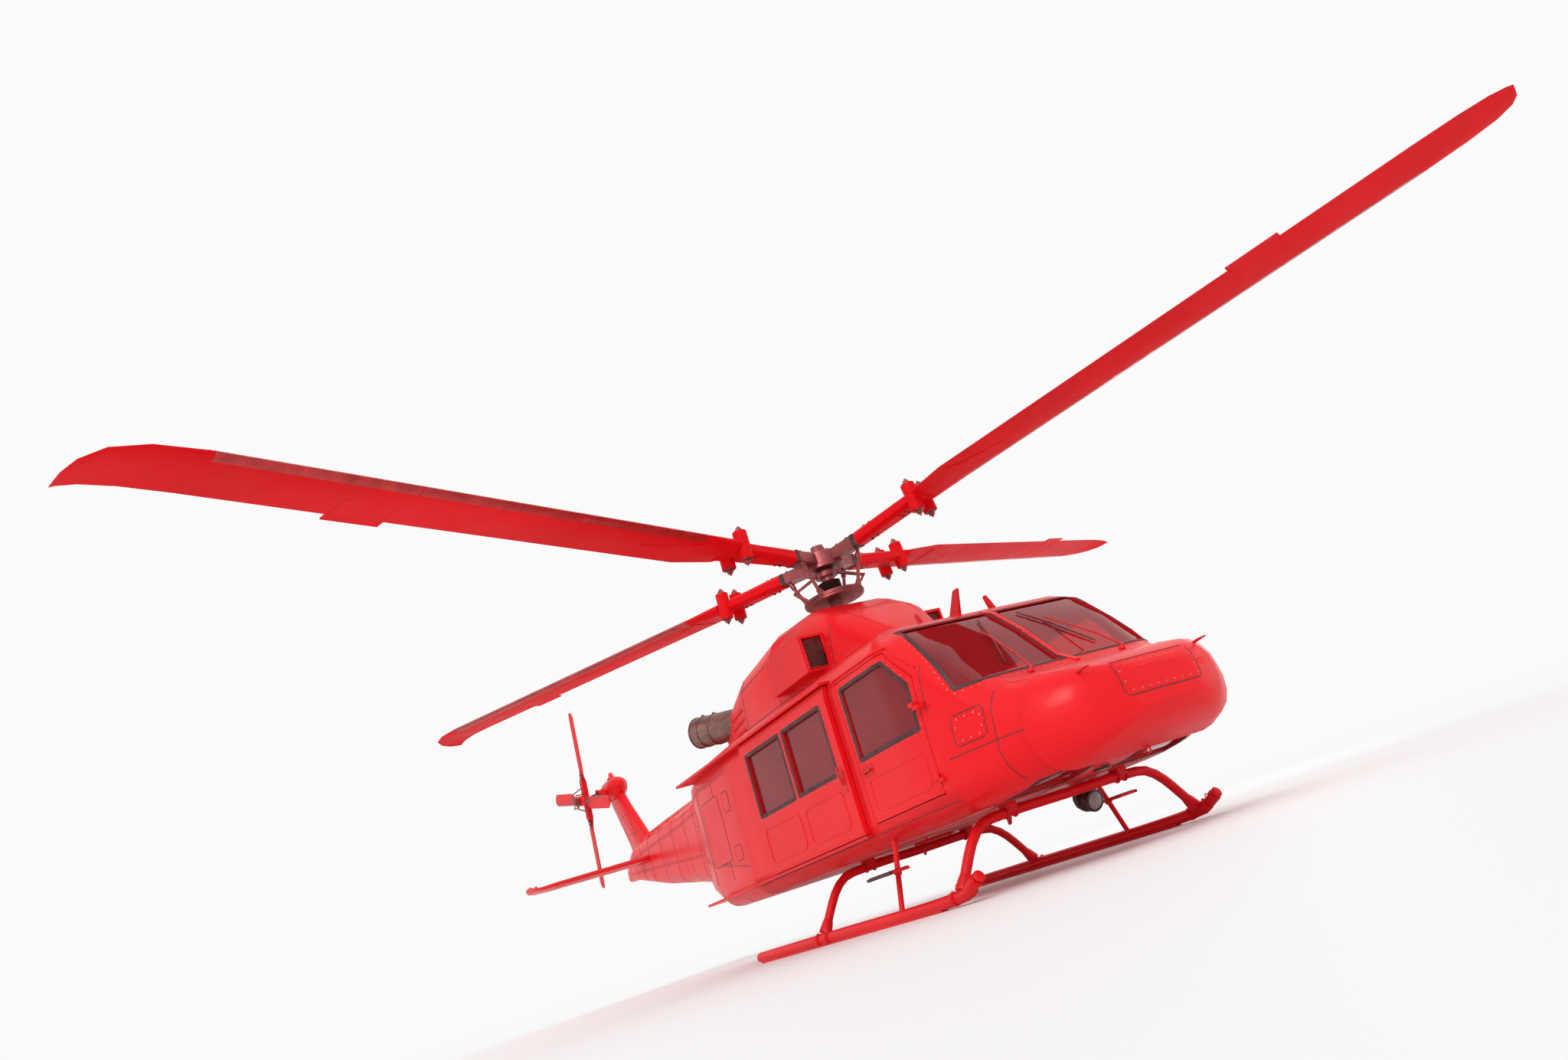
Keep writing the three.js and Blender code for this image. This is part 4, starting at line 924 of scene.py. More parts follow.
def cowling_details():
    seams, screws, louvres = forms(cowling_seams="rubber", cowling_fasteners="steel", cowling_louvres="paint")
    back, front = Vector((-LOUVRES["wide"] / 2, 0, 0)), Vector((LOUVRES["wide"] / 2, 0, 0))
    for side, _ in SIDES:
        joints(seams, screws, COWLING_SKIN, side, COWLING_SIDE_SEAMS, COWLING_SEAM, LATCH_ROWS, *LATCHES, step=0.04)
        for row in range(LOUVRES["rows"]):
            for k in range(LOUVRES["count"]):
                x = MX + LOUVRES["from"][0] + k * LOUVRES["pitch"][0]
                z = LOUVRES["from"][1] + row * LOUVRES["pitch"][1]
                lower, upper = (COWLING_SKIN.hit(side, x, z + rise) for rise in (0, LOUVRES["tall"]))
                if lower and upper:
                    (foot, normal), (top, _) = lower, upper
                    lip, sunk = normal * 0.016, normal * 0.002
                    louvres.add([top + back - sunk, top + front - sunk, foot + back, foot + front * 0.6 + lip,
                                 foot + front, foot + back * 0.6 + lip], [(0, 1, 4, 3, 5, 2), (2, 5, 3, 4)])
    joints(seams, screws, COWLING_SKIN, "top", COWLING_TOP_SEAMS, COWLING_SEAM, LATCH_ROWS, *LATCHES, step=0.04)


def intakes():
    lips, wires, backs = forms(intake_lips="paint", intake_screens="steel", intake_backs="dark")
    x, bottom, top = MX + INTAKE["front"], INTAKE["bottom"], INTAKE["top"]
    at, gap = x - INTAKE["screen"], INTAKE["gap"]
    for _, sign in SIDES:
        inner, outer = sign * INTAKE["inner"], sign * INTAKE["outer"]
        lips.tube([(x + 0.001, y, z) for y, z in rectangle(inner, outer, bottom, top)], 15, closed=True)
        for k in range(1, INTAKE["columns"]):
            y = inner + (outer - inner) * k / INTAKE["columns"]
            wires.tube([(at, y, bottom), (at, y, top)], *SCREEN_WIRE)
        for k in range(1, INTAKE["rows"]):
            z = bottom + (top - bottom) * k / INTAKE["rows"]
            wires.tube([(at + 0.004, inner, z), (at + 0.004, outer, z)], *SCREEN_WIRE)
        # Near-black plates behind the screens stand in for the shade deep in the intakes: painted shade
        rear, fore = (x - depth for depth in INTAKE["back"])
        backs.block((rear, inner + sign * gap, bottom + gap), (fore, outer - sign * gap, top - gap), 4)


def exhaust_details():
    rings, dark = forms(exhaust_rings="exhaust", exhaust_insides="dark")
    radius, bore = EXHAUST_RADIUS, EXHAUST_BORE
    for _, sign in SIDES:
        start, end = spot(-2.15, sign * 0.38, 2.65), spot(-2.98, sign * 0.69, 2.80)
        along = (end - start).normalized()
        rings.turned(end, along, 40, (-16, radius), (-14, radius + 8), (0, radius + 8), (8, radius - 6),
                     (8, bore + 4), (-10, bore - 1), (-16, bore - 1))
        for back in (0.14, 0.34):
            rings.turned(end - along * back, along, 40, *collar(12, radius - 2, radius + 7, 2))
            clamp = end - along * back + Vector((0, 0, (radius + 16) / MM))
            rings.tube([clamp - along * 0.02, clamp + along * 0.02], 9, 8)
        # A near-black plug and vanes deep in the pipe: soot, and painted shade where the pipe's depth would be dark
        dark.turned(start + along * 0.235, along, 32, (0, bore - 2), (6, bore - 2), (50, 50), (100, 20))
        for angle in turns(8):
            out = Matrix.Rotation(angle, 3, along) @ along.orthogonal().normalized()
            middle = start + along * 0.30
            dark.bar(middle + out * 0.03, middle + out * ((bore - 4) / MM), 50, 4, along.cross(out))


# Tail: drive shaft cover joints and latches, fin and stabiliser seams, dischargers, position lights
FIN_SEAMS = ([(-8.02, 2.24), (-8.66, 2.9), (-8.9, 3.18)], [(-8.5, 2.25), (-8.86, 2.9), (-9.02, 3.18)],
             [(-7.86, 2.4), (-8.6, 2.44)], [(-8.14, 2.75), (-8.84, 2.78)], [(-8.36, 3.02), (-8.98, 3.04)])
STABILISER_SEAMS = (*([(x, 0.34), (x, 1.74)] for x in (-7.42, -7.84)),
                    *([(-7.27, y), (-8.0, y)] for y in (0.75, 1.25, 1.72)))
TAIL_SEAM = (8, 1.2)
DISCHARGER = ((4, 1.5), 6)


def tail_details():
    lamps = {side: Form(f"position_light_{side}", "beacon") for side, _ in SIDES}
    seams, studs, fittings = forms(tail_seams="rubber", tail_rivets="paint", tail_fittings="fittings")
    for k in range(9):
        x = MX - 3.5 - k * 0.5
        seams.line(BODY_SKIN, "top", [(x, y) for y in (-0.094, -0.05, 0, 0.05, 0.094)], 12, 2, step=0.01)
        for _, sign in SIDES:
            top = BODY_SKIN.hit("top", x + 0.02, sign * 0.06)[0].z
            fittings.block((x - 0.03, sign * 0.094, top - 0.075), (x + 0.03, sign * 0.106, top - 0.035), 3)
    for side, sign in SIDES:
        for points in FIN_SEAMS:
            trail = seams.line(FIN_SKIN, side, drawn(points), *TAIL_SEAM, step=0.04)
            studs.studs(moved(trail, 0.5, (0.018, 0, 0)), RIVETS)
        skin = STABILISER_SKINS[side]
        for view in ("top", "below"):
            for points in STABILISER_SEAMS:
                mirrored = [(MX + x, sign * y) for x, y in points]
                studs.studs(seams.line(skin, view, mirrored, *TAIL_SEAM, step=0.04), RIVETS)
        lamps[side].turned(*skin.hit("top", MX - 7.62, sign * 1.98), 16, (-4, 30), (10, 30), (30, 24), (44, 10))
        for y in (0.9, 1.3, 1.7):
            edge, _ = skin.hit("top", MX - 8.024, sign * y)
            fittings.tube(offsets(edge, (0.01, 0, 0), (-0.05, 0, -0.002)), *DISCHARGER)
    for z in (2.4, 2.7, 3.0):
        hit = FIN_SKIN.hit("right", MX + (-8.7 - (z - 2.35) * 0.5) + 0.03, z)
        if hit:
            fittings.tube(offsets(hit[0], (0, 0, 0), (-0.09, 0, 0)), *DISCHARGER)


# Main rotor, each blade's pieces in its own frame: x out along the blade, y towards its leading edge, z up
FIRST_BLADE, CONING, BLADES = radians(25), radians(4), 4
LEAD, TRAIL = 0.180, -0.420
CHORD = LEAD - TRAIL
PROUD = 0.0016
GUARDS = ((2.0, 3.55), (3.56, 5.12), (5.13, 6.68))
# How far a doubler reaches, and how much narrower it is than its blade
DOUBLERS = ((2.62, 0.10), (2.36, 0.05), (2.16, 0.02))
TAB_ENDS = (5.14, 5.58)
CUFF_BOLTS = (0.70, 0.78, 1.16, 1.24)
LUG_X, LUG_YS, LUG_HALF = 1.42, (0.095, -0.150), 0.150
# The number of sides and the profile of a lug's washer, its nut and the bolt's end
LUG_BOLT = ((24, (-1, 60), (10, 60), (14, 52)), (6, (8, 34), (40, 34), (46, 28)),
            (12, (40, 14), (62, 14), (66, 10)))
SWASHPLATE_Z, SWASHPLATE_RADIUS = 3.33, 330
SCISSORS = ((0.27, 0.03), (0.40, 0.17), (0.11, 0.29))


def round_mast(index):
    return Matrix.Translation(MAST) @ Matrix.Rotation(FIRST_BLADE + index * 2 * pi / BLADES, 4, "Z")


def guard_ring(x):
    """The guard over a blade's leading edge at one place along it, as a closed ring a little proud of the blade."""
    thick = 0.0745 - 0.0088 * (x - 2.0) / 4.7
    outer = ((LEAD - 0.14 * CHORD, 0.43), (LEAD - 0.04 * CHORD, 0.31), (LEAD + PROUD, 0.0),
             (LEAD - 0.04 * CHORD, -0.31), (LEAD - 0.14 * CHORD, -0.43))
    inner = ((LEAD - 0.15 * CHORD, -0.2), (LEAD - 0.06 * CHORD, 0), (LEAD - 0.15 * CHORD, 0.2))
    return [*((x, y, share * thick + copysign(PROUD, share) * (share != 0)) for y, share in outer),
            *((x, y, share * thick) for y, share in inner)]


def blade_details():
    for index in range(BLADES):
        skin = Skin(f"main_blade_{index + 1}")
        guards, plates, bolts = forms("main_rotor", index + 1, blade_guard="guard", blade_doublers="blades",
                                      blade_bolts="hub")
        at = guards.at = bolts.at = round_mast(index) @ Matrix.Rotation(-CONING, 4, "Y")
        for ends in GUARDS:
            guards.rings([guard_ring(x) for x in ends])
        for sign in (1, -1):
            view = (lambda x, y: at @ Vector((x, y, sign))), at.to_3x3() @ Vector((0, 0, -sign))
            for reach, inset in DOUBLERS:
                corners = [(1.97, LEAD - 0.10 - inset), (reach, LEAD - 0.20 - inset),
                           (reach, TRAIL + 0.20 + inset), (1.97, TRAIL + 0.06 + inset)]
                plates.plate(skin, view, corners, 2 + 6.4 * (2.7 - reach), (8, 8))
            for x in TAB_ENDS:
                plates.plate(skin, view, rectangle(x - 0.012, x + 0.012, -0.12, -0.40), 2, (2, 6))
            plates.line(skin, view, [(6.71, 0.17), (6.71, -0.41)], 20, 1.6, step=0.03)
        for y in LUG_YS:
            for sign in (1, -1):
                for sides, *profile in LUG_BOLT:
                    bolts.turned((LUG_X, y, sign * LUG_HALF), (0, 0, sign), sides, *profile)
        for x in CUFF_BOLTS:
            share = x - 0.56
            for sign in (1, -1):
                for y in (-0.045, 0.03):
                    bolts.bolt((x, y - 0.06 * share, sign * (0.075 - 0.013 * share)), (0, 0, sign), 16, 14)
        for y in (0.045, -0.324):
            bolts.turned((6.9, y, 0.010), UP, 12, (-20, 12), (3, 12), (5, 6))


def hub_details():
    form, dark = forms("main_rotor", hub_details="hub", hub_boots="rubber")
    for angle in turns(12):
        form.bolt(MAST + spoke(angle) * 0.19 + UP * 0.085, UP, 15, 18)
        form.bolt(MAST + spoke(angle) * 0.062 + UP * 0.195, UP, 9, 12)
    plate = Vector((MX, MAST.y, SWASHPLATE_Z))
    for rise, reach in ((-20, 6), (0, 12), (20, 6)):
        ring = collar(6, SWASHPLATE_RADIUS - 4, SWASHPLATE_RADIUS + reach, 2)
        form.turned(plate, UP, 48, *((rise + h, r) for h, r in ring))
    for angle in turns(16, 0.2):
        form.bolt(plate + spoke(angle) * 0.25 + UP * 0.032, UP, 11, 10)
    # Bellows round the mast over the swashplate
    folds = [fold for k in range(9) for fold in ((34 + k * 18, 108), (43 + k * 18, 128))]
    dark.turned(plate, UP, 32, (30, 74), *folds, (200, 86), (205, 74))
    # Scissor links that turn the swashplate with the mast, and the collar that they hang from
    for angle in (radians(70), radians(250)):
        out = spoke(angle)
        across = UP.cross(out)
        low, knee, top = (plate + out * reach + UP * rise for reach, rise in SCISSORS)
        for side in (-0.03, 0.03):
            form.bar(low + across * side, knee + across * side * 0.5, 26, 14, across)
            form.bar(knee + across * side * 0.4, top + across * side, 24, 14, across)
        for pin, half in ((low, 0.05), (knee, 0.035), (top, 0.05)):
            form.tube([pin - across * half, pin + across * half], 13)
    form.turned(plate, UP, 32, (250, 76), (252, 125), (310, 125), (325, 100), (330, 76))
    # Rod ends of the pitch links, and bolts and boots where the cuffs leave the hub
    low, top = Vector((0.300, 0.060, SWASHPLATE_Z - MAST.z)), Vector((0.470, 0.060, 0.0))
    for index in range(BLADES):
        form.at = dark.at = round_mast(index)
        for share in (0.12, 0.78):
            form.turned(low.lerp(top, share), top - low, 12, *collar(35, 20, 29, 5))
        form.turned(low + Vector((0, 0.012, 0.035)), (0, 1, 0), 16, *collar(20, 22, 36, 8))
        for y, z in ((-0.07, 0.082), (0.0, 0.083), (0.07, 0.082)):
            form.bolt((0.30, y, z), (0.07, 0, 1), 14, 14)
            form.bolt((0.44, y, 0.092), (0.07, 0, 1), 14, 14)
        section = rectangle(-0.094, 0.094, -0.064, 0.064)
        dark.rings([[(x, y, 0.07 * x + z) for y, z in section] for x in (0.495, 0.545)])


# Tail rotor, in the frame of its shaft: y along the shaft, away from the fin below zero
TAIL_LEAN = radians(12)
TAIL_PLANES = (-0.040, -0.130)
TAIL_CHORD, TAIL_THICK = 0.210, 0.026
TAIL_LEAD = -0.35 * TAIL_CHORD
TAIL_GUARD = ((0.14 * TAIL_CHORD, 0.44), (0.03 * TAIL_CHORD, 0.32), (-0.0014, 0), (0.03 * TAIL_CHORD, -0.32),
              (0.14 * TAIL_CHORD, -0.44), (0.05 * TAIL_CHORD, 0))


def tail_rotor_details():
    guards, form, dark = forms("tail_rotor", tail_blade_guards="guard", tail_hub_details="hub",
                               tail_shaft_boot="rubber")
    flange = Form("tail_gearbox_flange", "fittings")
    shaft = Matrix.Translation(TAIL_HUB) @ Matrix.Rotation(TAIL_LEAN, 4, "Y")
    centre, outward = (0, 0, 0), -ACROSS
    for pair, plane in enumerate(TAIL_PLANES):
        for side in (0, 1):
            turn = Matrix.Rotation(pi * side, 4, "Y") @ Matrix.Rotation(pi / 2 * pair, 4, "Y")
            guards.at = form.at = shaft @ turn
            guards.rings([[(TAIL_LEAD + x, plane + share * TAIL_THICK, z) for x, share in TAIL_GUARD]
                          for z in (0.56, 1.38)])
            for z in (0.13, 0.20, 0.27):
                for face in (1, -1):
                    form.bolt((0, plane + face * 0.042, z), (0, face, 0), 13, 11)
            for face in (1, -1):
                form.bar((0, plane + face * 0.030, 0.31), (0, plane + face * 0.012, 0.50), 105, 14, ACROSS, 0.7)
            for z in (0.36, 0.42):
                for x in (-0.025, 0.025):
                    form.bolt((x, plane - 0.030 + (z - 0.31) * 0.09 - 0.006, z), outward, 9, 9)
            # Pitch link from the spider outside both pairs to a horn on this blade's grip
            form.tube([(-0.115, -0.235, 0.12), (-0.115, plane - 0.02, 0.20)], 10, 8)
            form.bar((-0.05, plane, 0.20), (-0.125, plane - 0.01, 0.20), 30, 18, ACROSS, 0.8)
            form.bar((0, -0.235, 0.02), (-0.118, -0.235, 0.12), 32, 14, ACROSS, 0.7)
    form.at = dark.at = shaft
    form.turned(centre, outward, 24, (186, 30), (190, 60), (222, 60), (250, 52), (262, 30), (270, 10))
    form.turned(centre, outward, 24, (-155, 46), (-150, 62), (-110, 62), (-100, 47))
    dark.turned(centre, outward, 24, (-98, 47), (-92, 55), (-86, 48), (-80, 55), (-74, 48), (-68, 55), (-60, 47))
    neck = Vector((TAIL_HUB.x, -0.290, TAIL_HUB.z))
    flange.turned(neck, outward, 32, (-30, 104), (-26, 118), (-4, 118), (0, 92))
    for angle in turns(10):
        flange.bolt(neck + Vector((cos(angle) * 0.107, 0.004, sin(angle) * 0.107)), outward, 7, 8)


# Landing gear: sleeves where tube meets skid, shoe bolts, end caps, towing eyes, treads, clamps at the saddles
SKID_Y, SKID_Z, SKID_RADIUS = 1.33, 0.06, 50
# The domed plug that closes a skid tube
SKID_CAP = ((-4, 47), (3, 48.5), (8, 44), (13, 32), (16, 16), (16.5, 1))
STEP_X, SADDLE_Y, CLAMP_REACH = MX + 1.48, 0.62, 0.047


def on_skid(side, x):
    """The centre of a skid tube at one place along it, the way the tube runs there, and up from it."""
    place, normal = SKID_SKINS[side].hit("top", x, dict(SIDES)[side] * SKID_Y)
    return place - normal * (SKID_RADIUS / MM), Vector((normal.z, 0, -normal.x)), Vector((normal.x, 0, normal.z))


def landing_gear_details():
    tubes = [footprint(f"cross_tube_{place}")[0] for place in ("front", "rear")]
    for side, sign in SIDES:
        sleeves, bolts, treads = forms("airframe", side, skid_sleeves="gear", skid_bolts="steel",
                                       step_treads="rubber")
        low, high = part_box(f"skid_{side}")
        y = sign * SKID_Y
        for x in tubes:
            for reach in (-0.10, 0.10):
                centre, along, up = on_skid(side, x + reach)
                sleeves.turned(centre, along, 24, *collar(22, SKID_RADIUS - 1, SKID_RADIUS + 6, 4))
                bolts.bolt(centre + up * ((SKID_RADIUS + 5) / MM), up, 10, 12)
            foot, knee = Vector((x, sign * 1.312, 0.105)), Vector((x, sign * 1.20, 0.265))
            sleeves.turned(foot, knee - foot, 24, (0, 60), (12, 62), (100, 50), (130, 42.5))
        for k in range(9):
            for offset in (-0.02, 0.02):
                bolts.bolt((MX - 1.5 + k * 0.44, y + offset, 0.019), UP, 6, 5)
        sleeves.turned((low.x, y, SKID_Z), (-1, 0, 0), 24, *SKID_CAP)
        toe, along, _ = on_skid(side, high.x - 0.045)
        sleeves.turned(toe, along, 24, *collar(16, SKID_RADIUS - 1, SKID_RADIUS + 3.5, 4))
        sleeves.turned(toe + along * 0.045 / max(along.x, 0.5), along, 24, *SKID_CAP)
        eye, along, up = on_skid(side, high.x - 0.13)
        eye += up * ((SKID_RADIUS + 10) / MM)
        sleeves.tube([eye + 0.018 * (cos(t) * along + sin(t) * up) for t in turns(14)], 5, 8, True)
        for k in range(13):
            x = STEP_X - 0.195 + k * 0.0325
            treads.bar((x, y - 0.085, 0.427), (x, y + 0.085, 0.427), 8, 6)
        treads.tube([(STEP_X + reach, y + sign * 0.095, 0.412) for reach in (-0.21, 0.21)], 14)
        strut = (STEP_X, sign * (SKID_Y - (SKID_Y - 1.14) * 0.49), 0.40)
        sleeves.turned(strut, (0, sign * (1.14 - SKID_Y), 0.70), 20, *collar(20, 24.5, 34, 4))
    clamps = Form("cross_tube_clamps", "fittings")
    for x in tubes:
        for _, sign in SIDES:
            for offset in (-0.045, 0.045):
                y = sign * SADDLE_Y + offset
                clamps.tube([(x + CLAMP_REACH * cos(t), y, 0.560 + CLAMP_REACH * sin(t))
                             for t in map(radians, range(180, 361, 15))], 8, 8)
                for reach in (-CLAMP_REACH, CLAMP_REACH):
                    clamps.tube([(x + reach, y, 0.558), (x + reach, y, 0.618)], 8, 8)


# Belly and roof fittings. An aerial is a view, a place in it, a height and a chord.
AERIALS = (("top", 1.95, 0.42, 0.20, 0.11), ("top", 1.95, -0.42, 0.15, 0.09), ("below", 1.60, 0.0, 0.14, 0.10),
           ("below", -0.42, 0.30, 0.12, 0.09), ("top", -4.9, 0.0, 0.26, 0.15), ("below", -4.35, 0.0, 0.13, 0.10))
AERIAL_SECTION = ((1, 0), (0.5, 0.8), (-0.3, 1), (-1, 0.15), (-1, -0.15), (-0.3, -1), (0.5, -0.8))
AERIAL_TAPER = ((-0.03, 1.0), (0.0, 1.0), (0.6, 0.82), (0.93, 0.62), (1.0, 0.40))
LAMP_AIM, LAMP_RIB = Vector((0.93, 0, -0.37)).normalized(), ((-62, 102), (-66, 108), (-70, 98))


def roof_and_belly():
    form, gutters, light, lens, base = forms(roof_and_belly_fittings="fittings", gutters_and_grips="paint",
                                             lamp_fittings="lamp", lamp_lenses="lens", beacon_base="fittings")
    for view, x, y, tall, chord in AERIALS:
        place, up = BODY_SKIN.hit(view, MX + x, y)[0], 1 if view == "top" else -1
        form.rings([[(place.x - tall * 0.35 * max(share, 0) + px * (chord * scale / 2),
                      place.y + py * (0.008 * scale + 0.002), place.z + up * tall * share)
                     for px, py in AERIAL_SECTION] for share, scale in AERIAL_TAPER])
        form.turned(place, (0, 0, up), 24, (-4, 75), (4, 72), (8, 55))
    # Two pitot heads below the windscreens and a towing ring under the nose
    for _, sign in SIDES:
        place, _ = BODY_SKIN.hit("front", sign * 0.62, 1.30)
        form.tube(offsets(place, (-0.05, 0, 0), (0.05, 0, 0.01), (0.10, 0, 0.012)), (12, 12, 9))
        form.tube(offsets(place, (0.095, 0, 0.012), (0.135, 0, 0.012)), 7, 8)
    place, _ = BODY_SKIN.hit("below", MX + 3.55, 0)
    form.tube([place + Vector((0.03 * cos(t), 0, -0.028 + 0.03 * sin(t))) for t in turns(14)], 7, 8, True)
    # Fuel drains, and four lugs round the pad of the cargo hook
    for x in (0.92, -0.2):
        for y in (-0.5, 0.5):
            form.turned(BODY_SKIN.hit("below", MX + x, y)[0], DOWN, 14, (-2, 20), (10, 18), (20, 10))
    for x in (-0.11, 0.11):
        for y in (-0.11, 0.11):
            form.turned(spot(0.27, 0, 0.60) + Vector((x, y, 0.0)), DOWN, 12, (-40, 16), (0, 16), (0.5, 10))
    # Rain gutters over the crew doors and the handrail grips on the roof edge
    for side, sign in SIDES:
        trail = BODY_SKIN.trail(side, drawn([(1.42, 2.145), (2.32, 2.145), (2.62, 1.86)]), step=0.04)
        gutters.tube(raised(trail, 6), 9, 8)
        gutters.tube([BODY_SKIN.hit("top", MX + x, sign)[0] + Vector((0, 0, rise))
                      for x, rise in ((1.46, 0), (1.46, 0.03), (1.72, 0.03), (1.72, 0))], 8, 8)
    # Fixed landing light under the nose, the swivelling lamp's rim, lens, yoke and cooling ribs, the beacon's base
    place, _ = BODY_SKIN.hit("below", MX + 2.98, 0)
    light.turned(place, DOWN, 32, (-10, 75), (12, 75), (18, 66), (14, 62))
    lens.turned(place, DOWN, 32, (-5, 64), (12, 62), (20, 40), (22, 10))
    x, y, bottom = footprint("search_lamp")
    centre = Vector((x, y, bottom + 0.12))
    light.turned(centre, LAMP_AIM, 32, (70, 96), (74, 106), (104, 104), (112, 88), (104, 80))
    lens.turned(centre, LAMP_AIM, 32, (90, 88), (106, 80), (118, 50), (122, 10))
    for sign in (-1, 1):
        light.turned(centre, (0, sign, 0), 20, (108, 34), (130, 34), (136, 26))
        light.bar(*offsets(centre, (0, sign * 0.128, -0.02), (0, sign * 0.128, 0.125)), 44, 10, (0, 1, 0), 0.8)
    light.bar(*offsets(centre, (0, -0.135, 0.122), (0, 0.135, 0.122)), 44, 12)
    for k in range(5):
        light.turned(centre, LAMP_AIM, 24, *((h - k * 12, r - k * 8) for h, r in LAMP_RIB))
    x, _, bottom = footprint("beacon")
    base.turned((x, 0, bottom + 0.012), UP, 28, (-12, 70), (-6, 78), (10, 78), (16, 66))


# Cabin: dials, knobs and levers, sticks and pedals, lining, floor tracks, overhead panel
PANEL = {"bottom": (2.480, 1.180), "top": (2.420, 1.560), "wide": 1.14}
# How many dials stand in each row, how far up the panel it is, and their radius
DIAL_ROWS = ((11, 0.80, 42), (11, 0.52, 42), (13, 0.26, 34))
HOOD = ((2.40, 1.556), (2.44, 1.588), (2.69, 1.500), (2.695, 1.474), (2.42, 1.562))


def dial(face, marks, caps, place, out, up, radius):
    """A rim, twelve marks, a needle at random and the needle's cap."""
    right, reach = up.cross(out), radius / MM

    def ray(angle):
        return right * sin(angle) + up * cos(angle)

    face.turned(place, out, 28, (-2, radius * 1.12), (6, radius * 1.12), (9, radius * 1.02), (4, radius * 0.98),
                (3, 2))
    for angle in turns(12):
        start, end = (place + out * 0.005 + ray(angle) * reach * share for share in (0.74, 0.92))
        marks.bar(start, end, radius * 0.07, 0.8, out)
    needle = ray(rng.uniform(-2.2, 2.2))
    marks.bar(place + out * 0.006 - needle * reach * 0.18, place + out * 0.006 + needle * reach * 0.7,
              radius * 0.09, 1, out, 0.4)
    caps.turned(place, out, 16, (3.5, radius * 0.3), (7.5, radius * 0.12), (8, 2))


def cockpit():
    hood, face, marks, knobs, sticks, grips = forms(
        panel_hood="panel", dials="panel", dial_marks="marks", cockpit_knobs="panel", control_sticks="fittings",
        control_grips="rubber")
    bottom, top = (spot(PANEL[end][0], 0, PANEL[end][1]) for end in ("bottom", "top"))
    up = (top - bottom).normalized()
    out = Vector((-up.z, 0, up.x))
    for count, share, radius in DIAL_ROWS:
        for k in range(count):
            y = (k - (count - 1) / 2) * (PANEL["wide"] / (count - 1))
            place = bottom + up * (top - bottom).length * share + Vector((0, y, 0)) + out * 0.002
            dial(face, marks, knobs, place, out, up, radius)
    for k in range(24):
        knobs.turned(bottom + up * 0.028 + Vector((0, (k - 11.5) * 0.048, 0)), out, 10, (-1, 8), (10, 7), (12, 3))
    for row in range(8):
        for k in range(5):
            knobs.turned(spot(1.98 + row * 0.062, (k - 2) * 0.042, 1.120), UP, 12, (-1, 11), (14, 9), (17, 4))
    for y in (-0.085, 0.0, 0.085):
        face.block((MX + 1.95, y - 0.004, 1.119), (MX + 2.45, y + 0.004, 1.124), 1)
    for y in (-0.05, 0.05):
        knobs.tube([spot(1.93, y, 1.12), spot(1.91, y, 1.19)], 6, 8)
        knobs.turned(spot(1.91, y, 1.185), (-0.2, 0, 1), 14, (-2, 12), (12, 18), (26, 12), (30, 4))
    hood.rings([[spot(x, y, z) for x, z in HOOD] for y in (-0.66, -0.4, 0.0, 0.4, 0.66)])
    floor_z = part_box("cabin_floor")[1].z
    for _, sign in SIDES:
        y = sign * 0.56
        foot = spot(2.06, y, floor_z - 0.004)
        stick = offsets(foot, (0, 0, 0), (0.02, 0, 0.20), (-0.03, 0, 0.40), (-0.06, 0, 0.50))
        sticks.tube(stick, (16, 15, 14, 13), 12)
        sticks.turned(foot, UP, 20, (-2, 75), (12, 70), (50, 34), (90, 20))
        grips.tube(offsets(stick[-1], (0, 0, -0.01), (-0.004, 0, 0.05), (0.004, 0, 0.10), (0.016, 0, 0.125)),
                   (17, 20, 18, 14), 12)
        hinge = spot(1.46, y - 0.285, floor_z + 0.12)
        sticks.tube(offsets(hinge, (0, 0, 0), (0.26, 0, 0.14), (0.40, 0, 0.19)), 14, 12)
        grips.tube(offsets(hinge, (0.40, 0, 0.19), (0.53, 0, 0.235)), (20, 18), 12)
        grips.block(*offsets(hinge, (0.53, -0.03, 0.225), (0.59, 0.03, 0.28)), 10)
        for pedal in (y - 0.13, y + 0.13):
            sticks.tube([spot(x, pedal, floor_z + z) for x, z in ((2.60, 0.30), (2.62, 0.13), (2.54, 0.08))], 10, 8)
            tread = [spot(2.53, pedal + across, floor_z + 0.10) for across in (-0.05, 0.05)]
            grips.bar(*tread, 100, 12, (-0.8, 0, 0.6))


def cabin_lining():
    lining, tracks, rings, overhead = forms(cabin_lining="liner", floor_tracks="steel", floor_rings="steel",
                                            overhead_panel="panel")
    inside = Skin("cabin_shell")
    upwards = (lambda x, y: Vector((x, y, 1.6))), UP
    for x0, x1 in ((-1.24, -0.42), (-0.36, 0.42), (0.48, 1.36)):
        for y0, y1 in ((-0.88, -0.04), (0.04, 0.88)):
            lining.plate(inside, upwards, rectangle(MX + x0, MX + x1, y0, y1), 12, (8, 8))
    backwards = (lambda y, z: spot(0.4, y, z)), BACK
    for y0, y1 in ((-1.06, -0.38), (-0.34, 0.34), (0.38, 1.06)):
        lining.plate(inside, backwards, rectangle(y0, y1, 1.93, 2.18), 14, (8, 6))
    floor_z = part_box("cabin_floor")[1].z
    for y in (-0.84, -0.42, 0.0, 0.42, 0.84):
        tracks.block((MX - 0.68, y - 0.016, floor_z - 0.001), (MX + 1.28, y + 0.016, floor_z + 0.004), 2)
        for k in range(9):
            rings.turned((MX - 0.6 + k * 0.225, y, floor_z), UP, 14, (3, 18), (6, 18), (6, 12), (3, 12))
    overhead.block((MX + 1.72, -0.20, 2.205), (MX + 2.20, 0.20, 2.281), 12)
    for row in range(6):
        for k in range(6):
            overhead.turned((MX + 1.78 + row * 0.068, (k - 2.5) * 0.055, 2.206), DOWN, 8, (-1, 8), (12, 6), (14, 3))


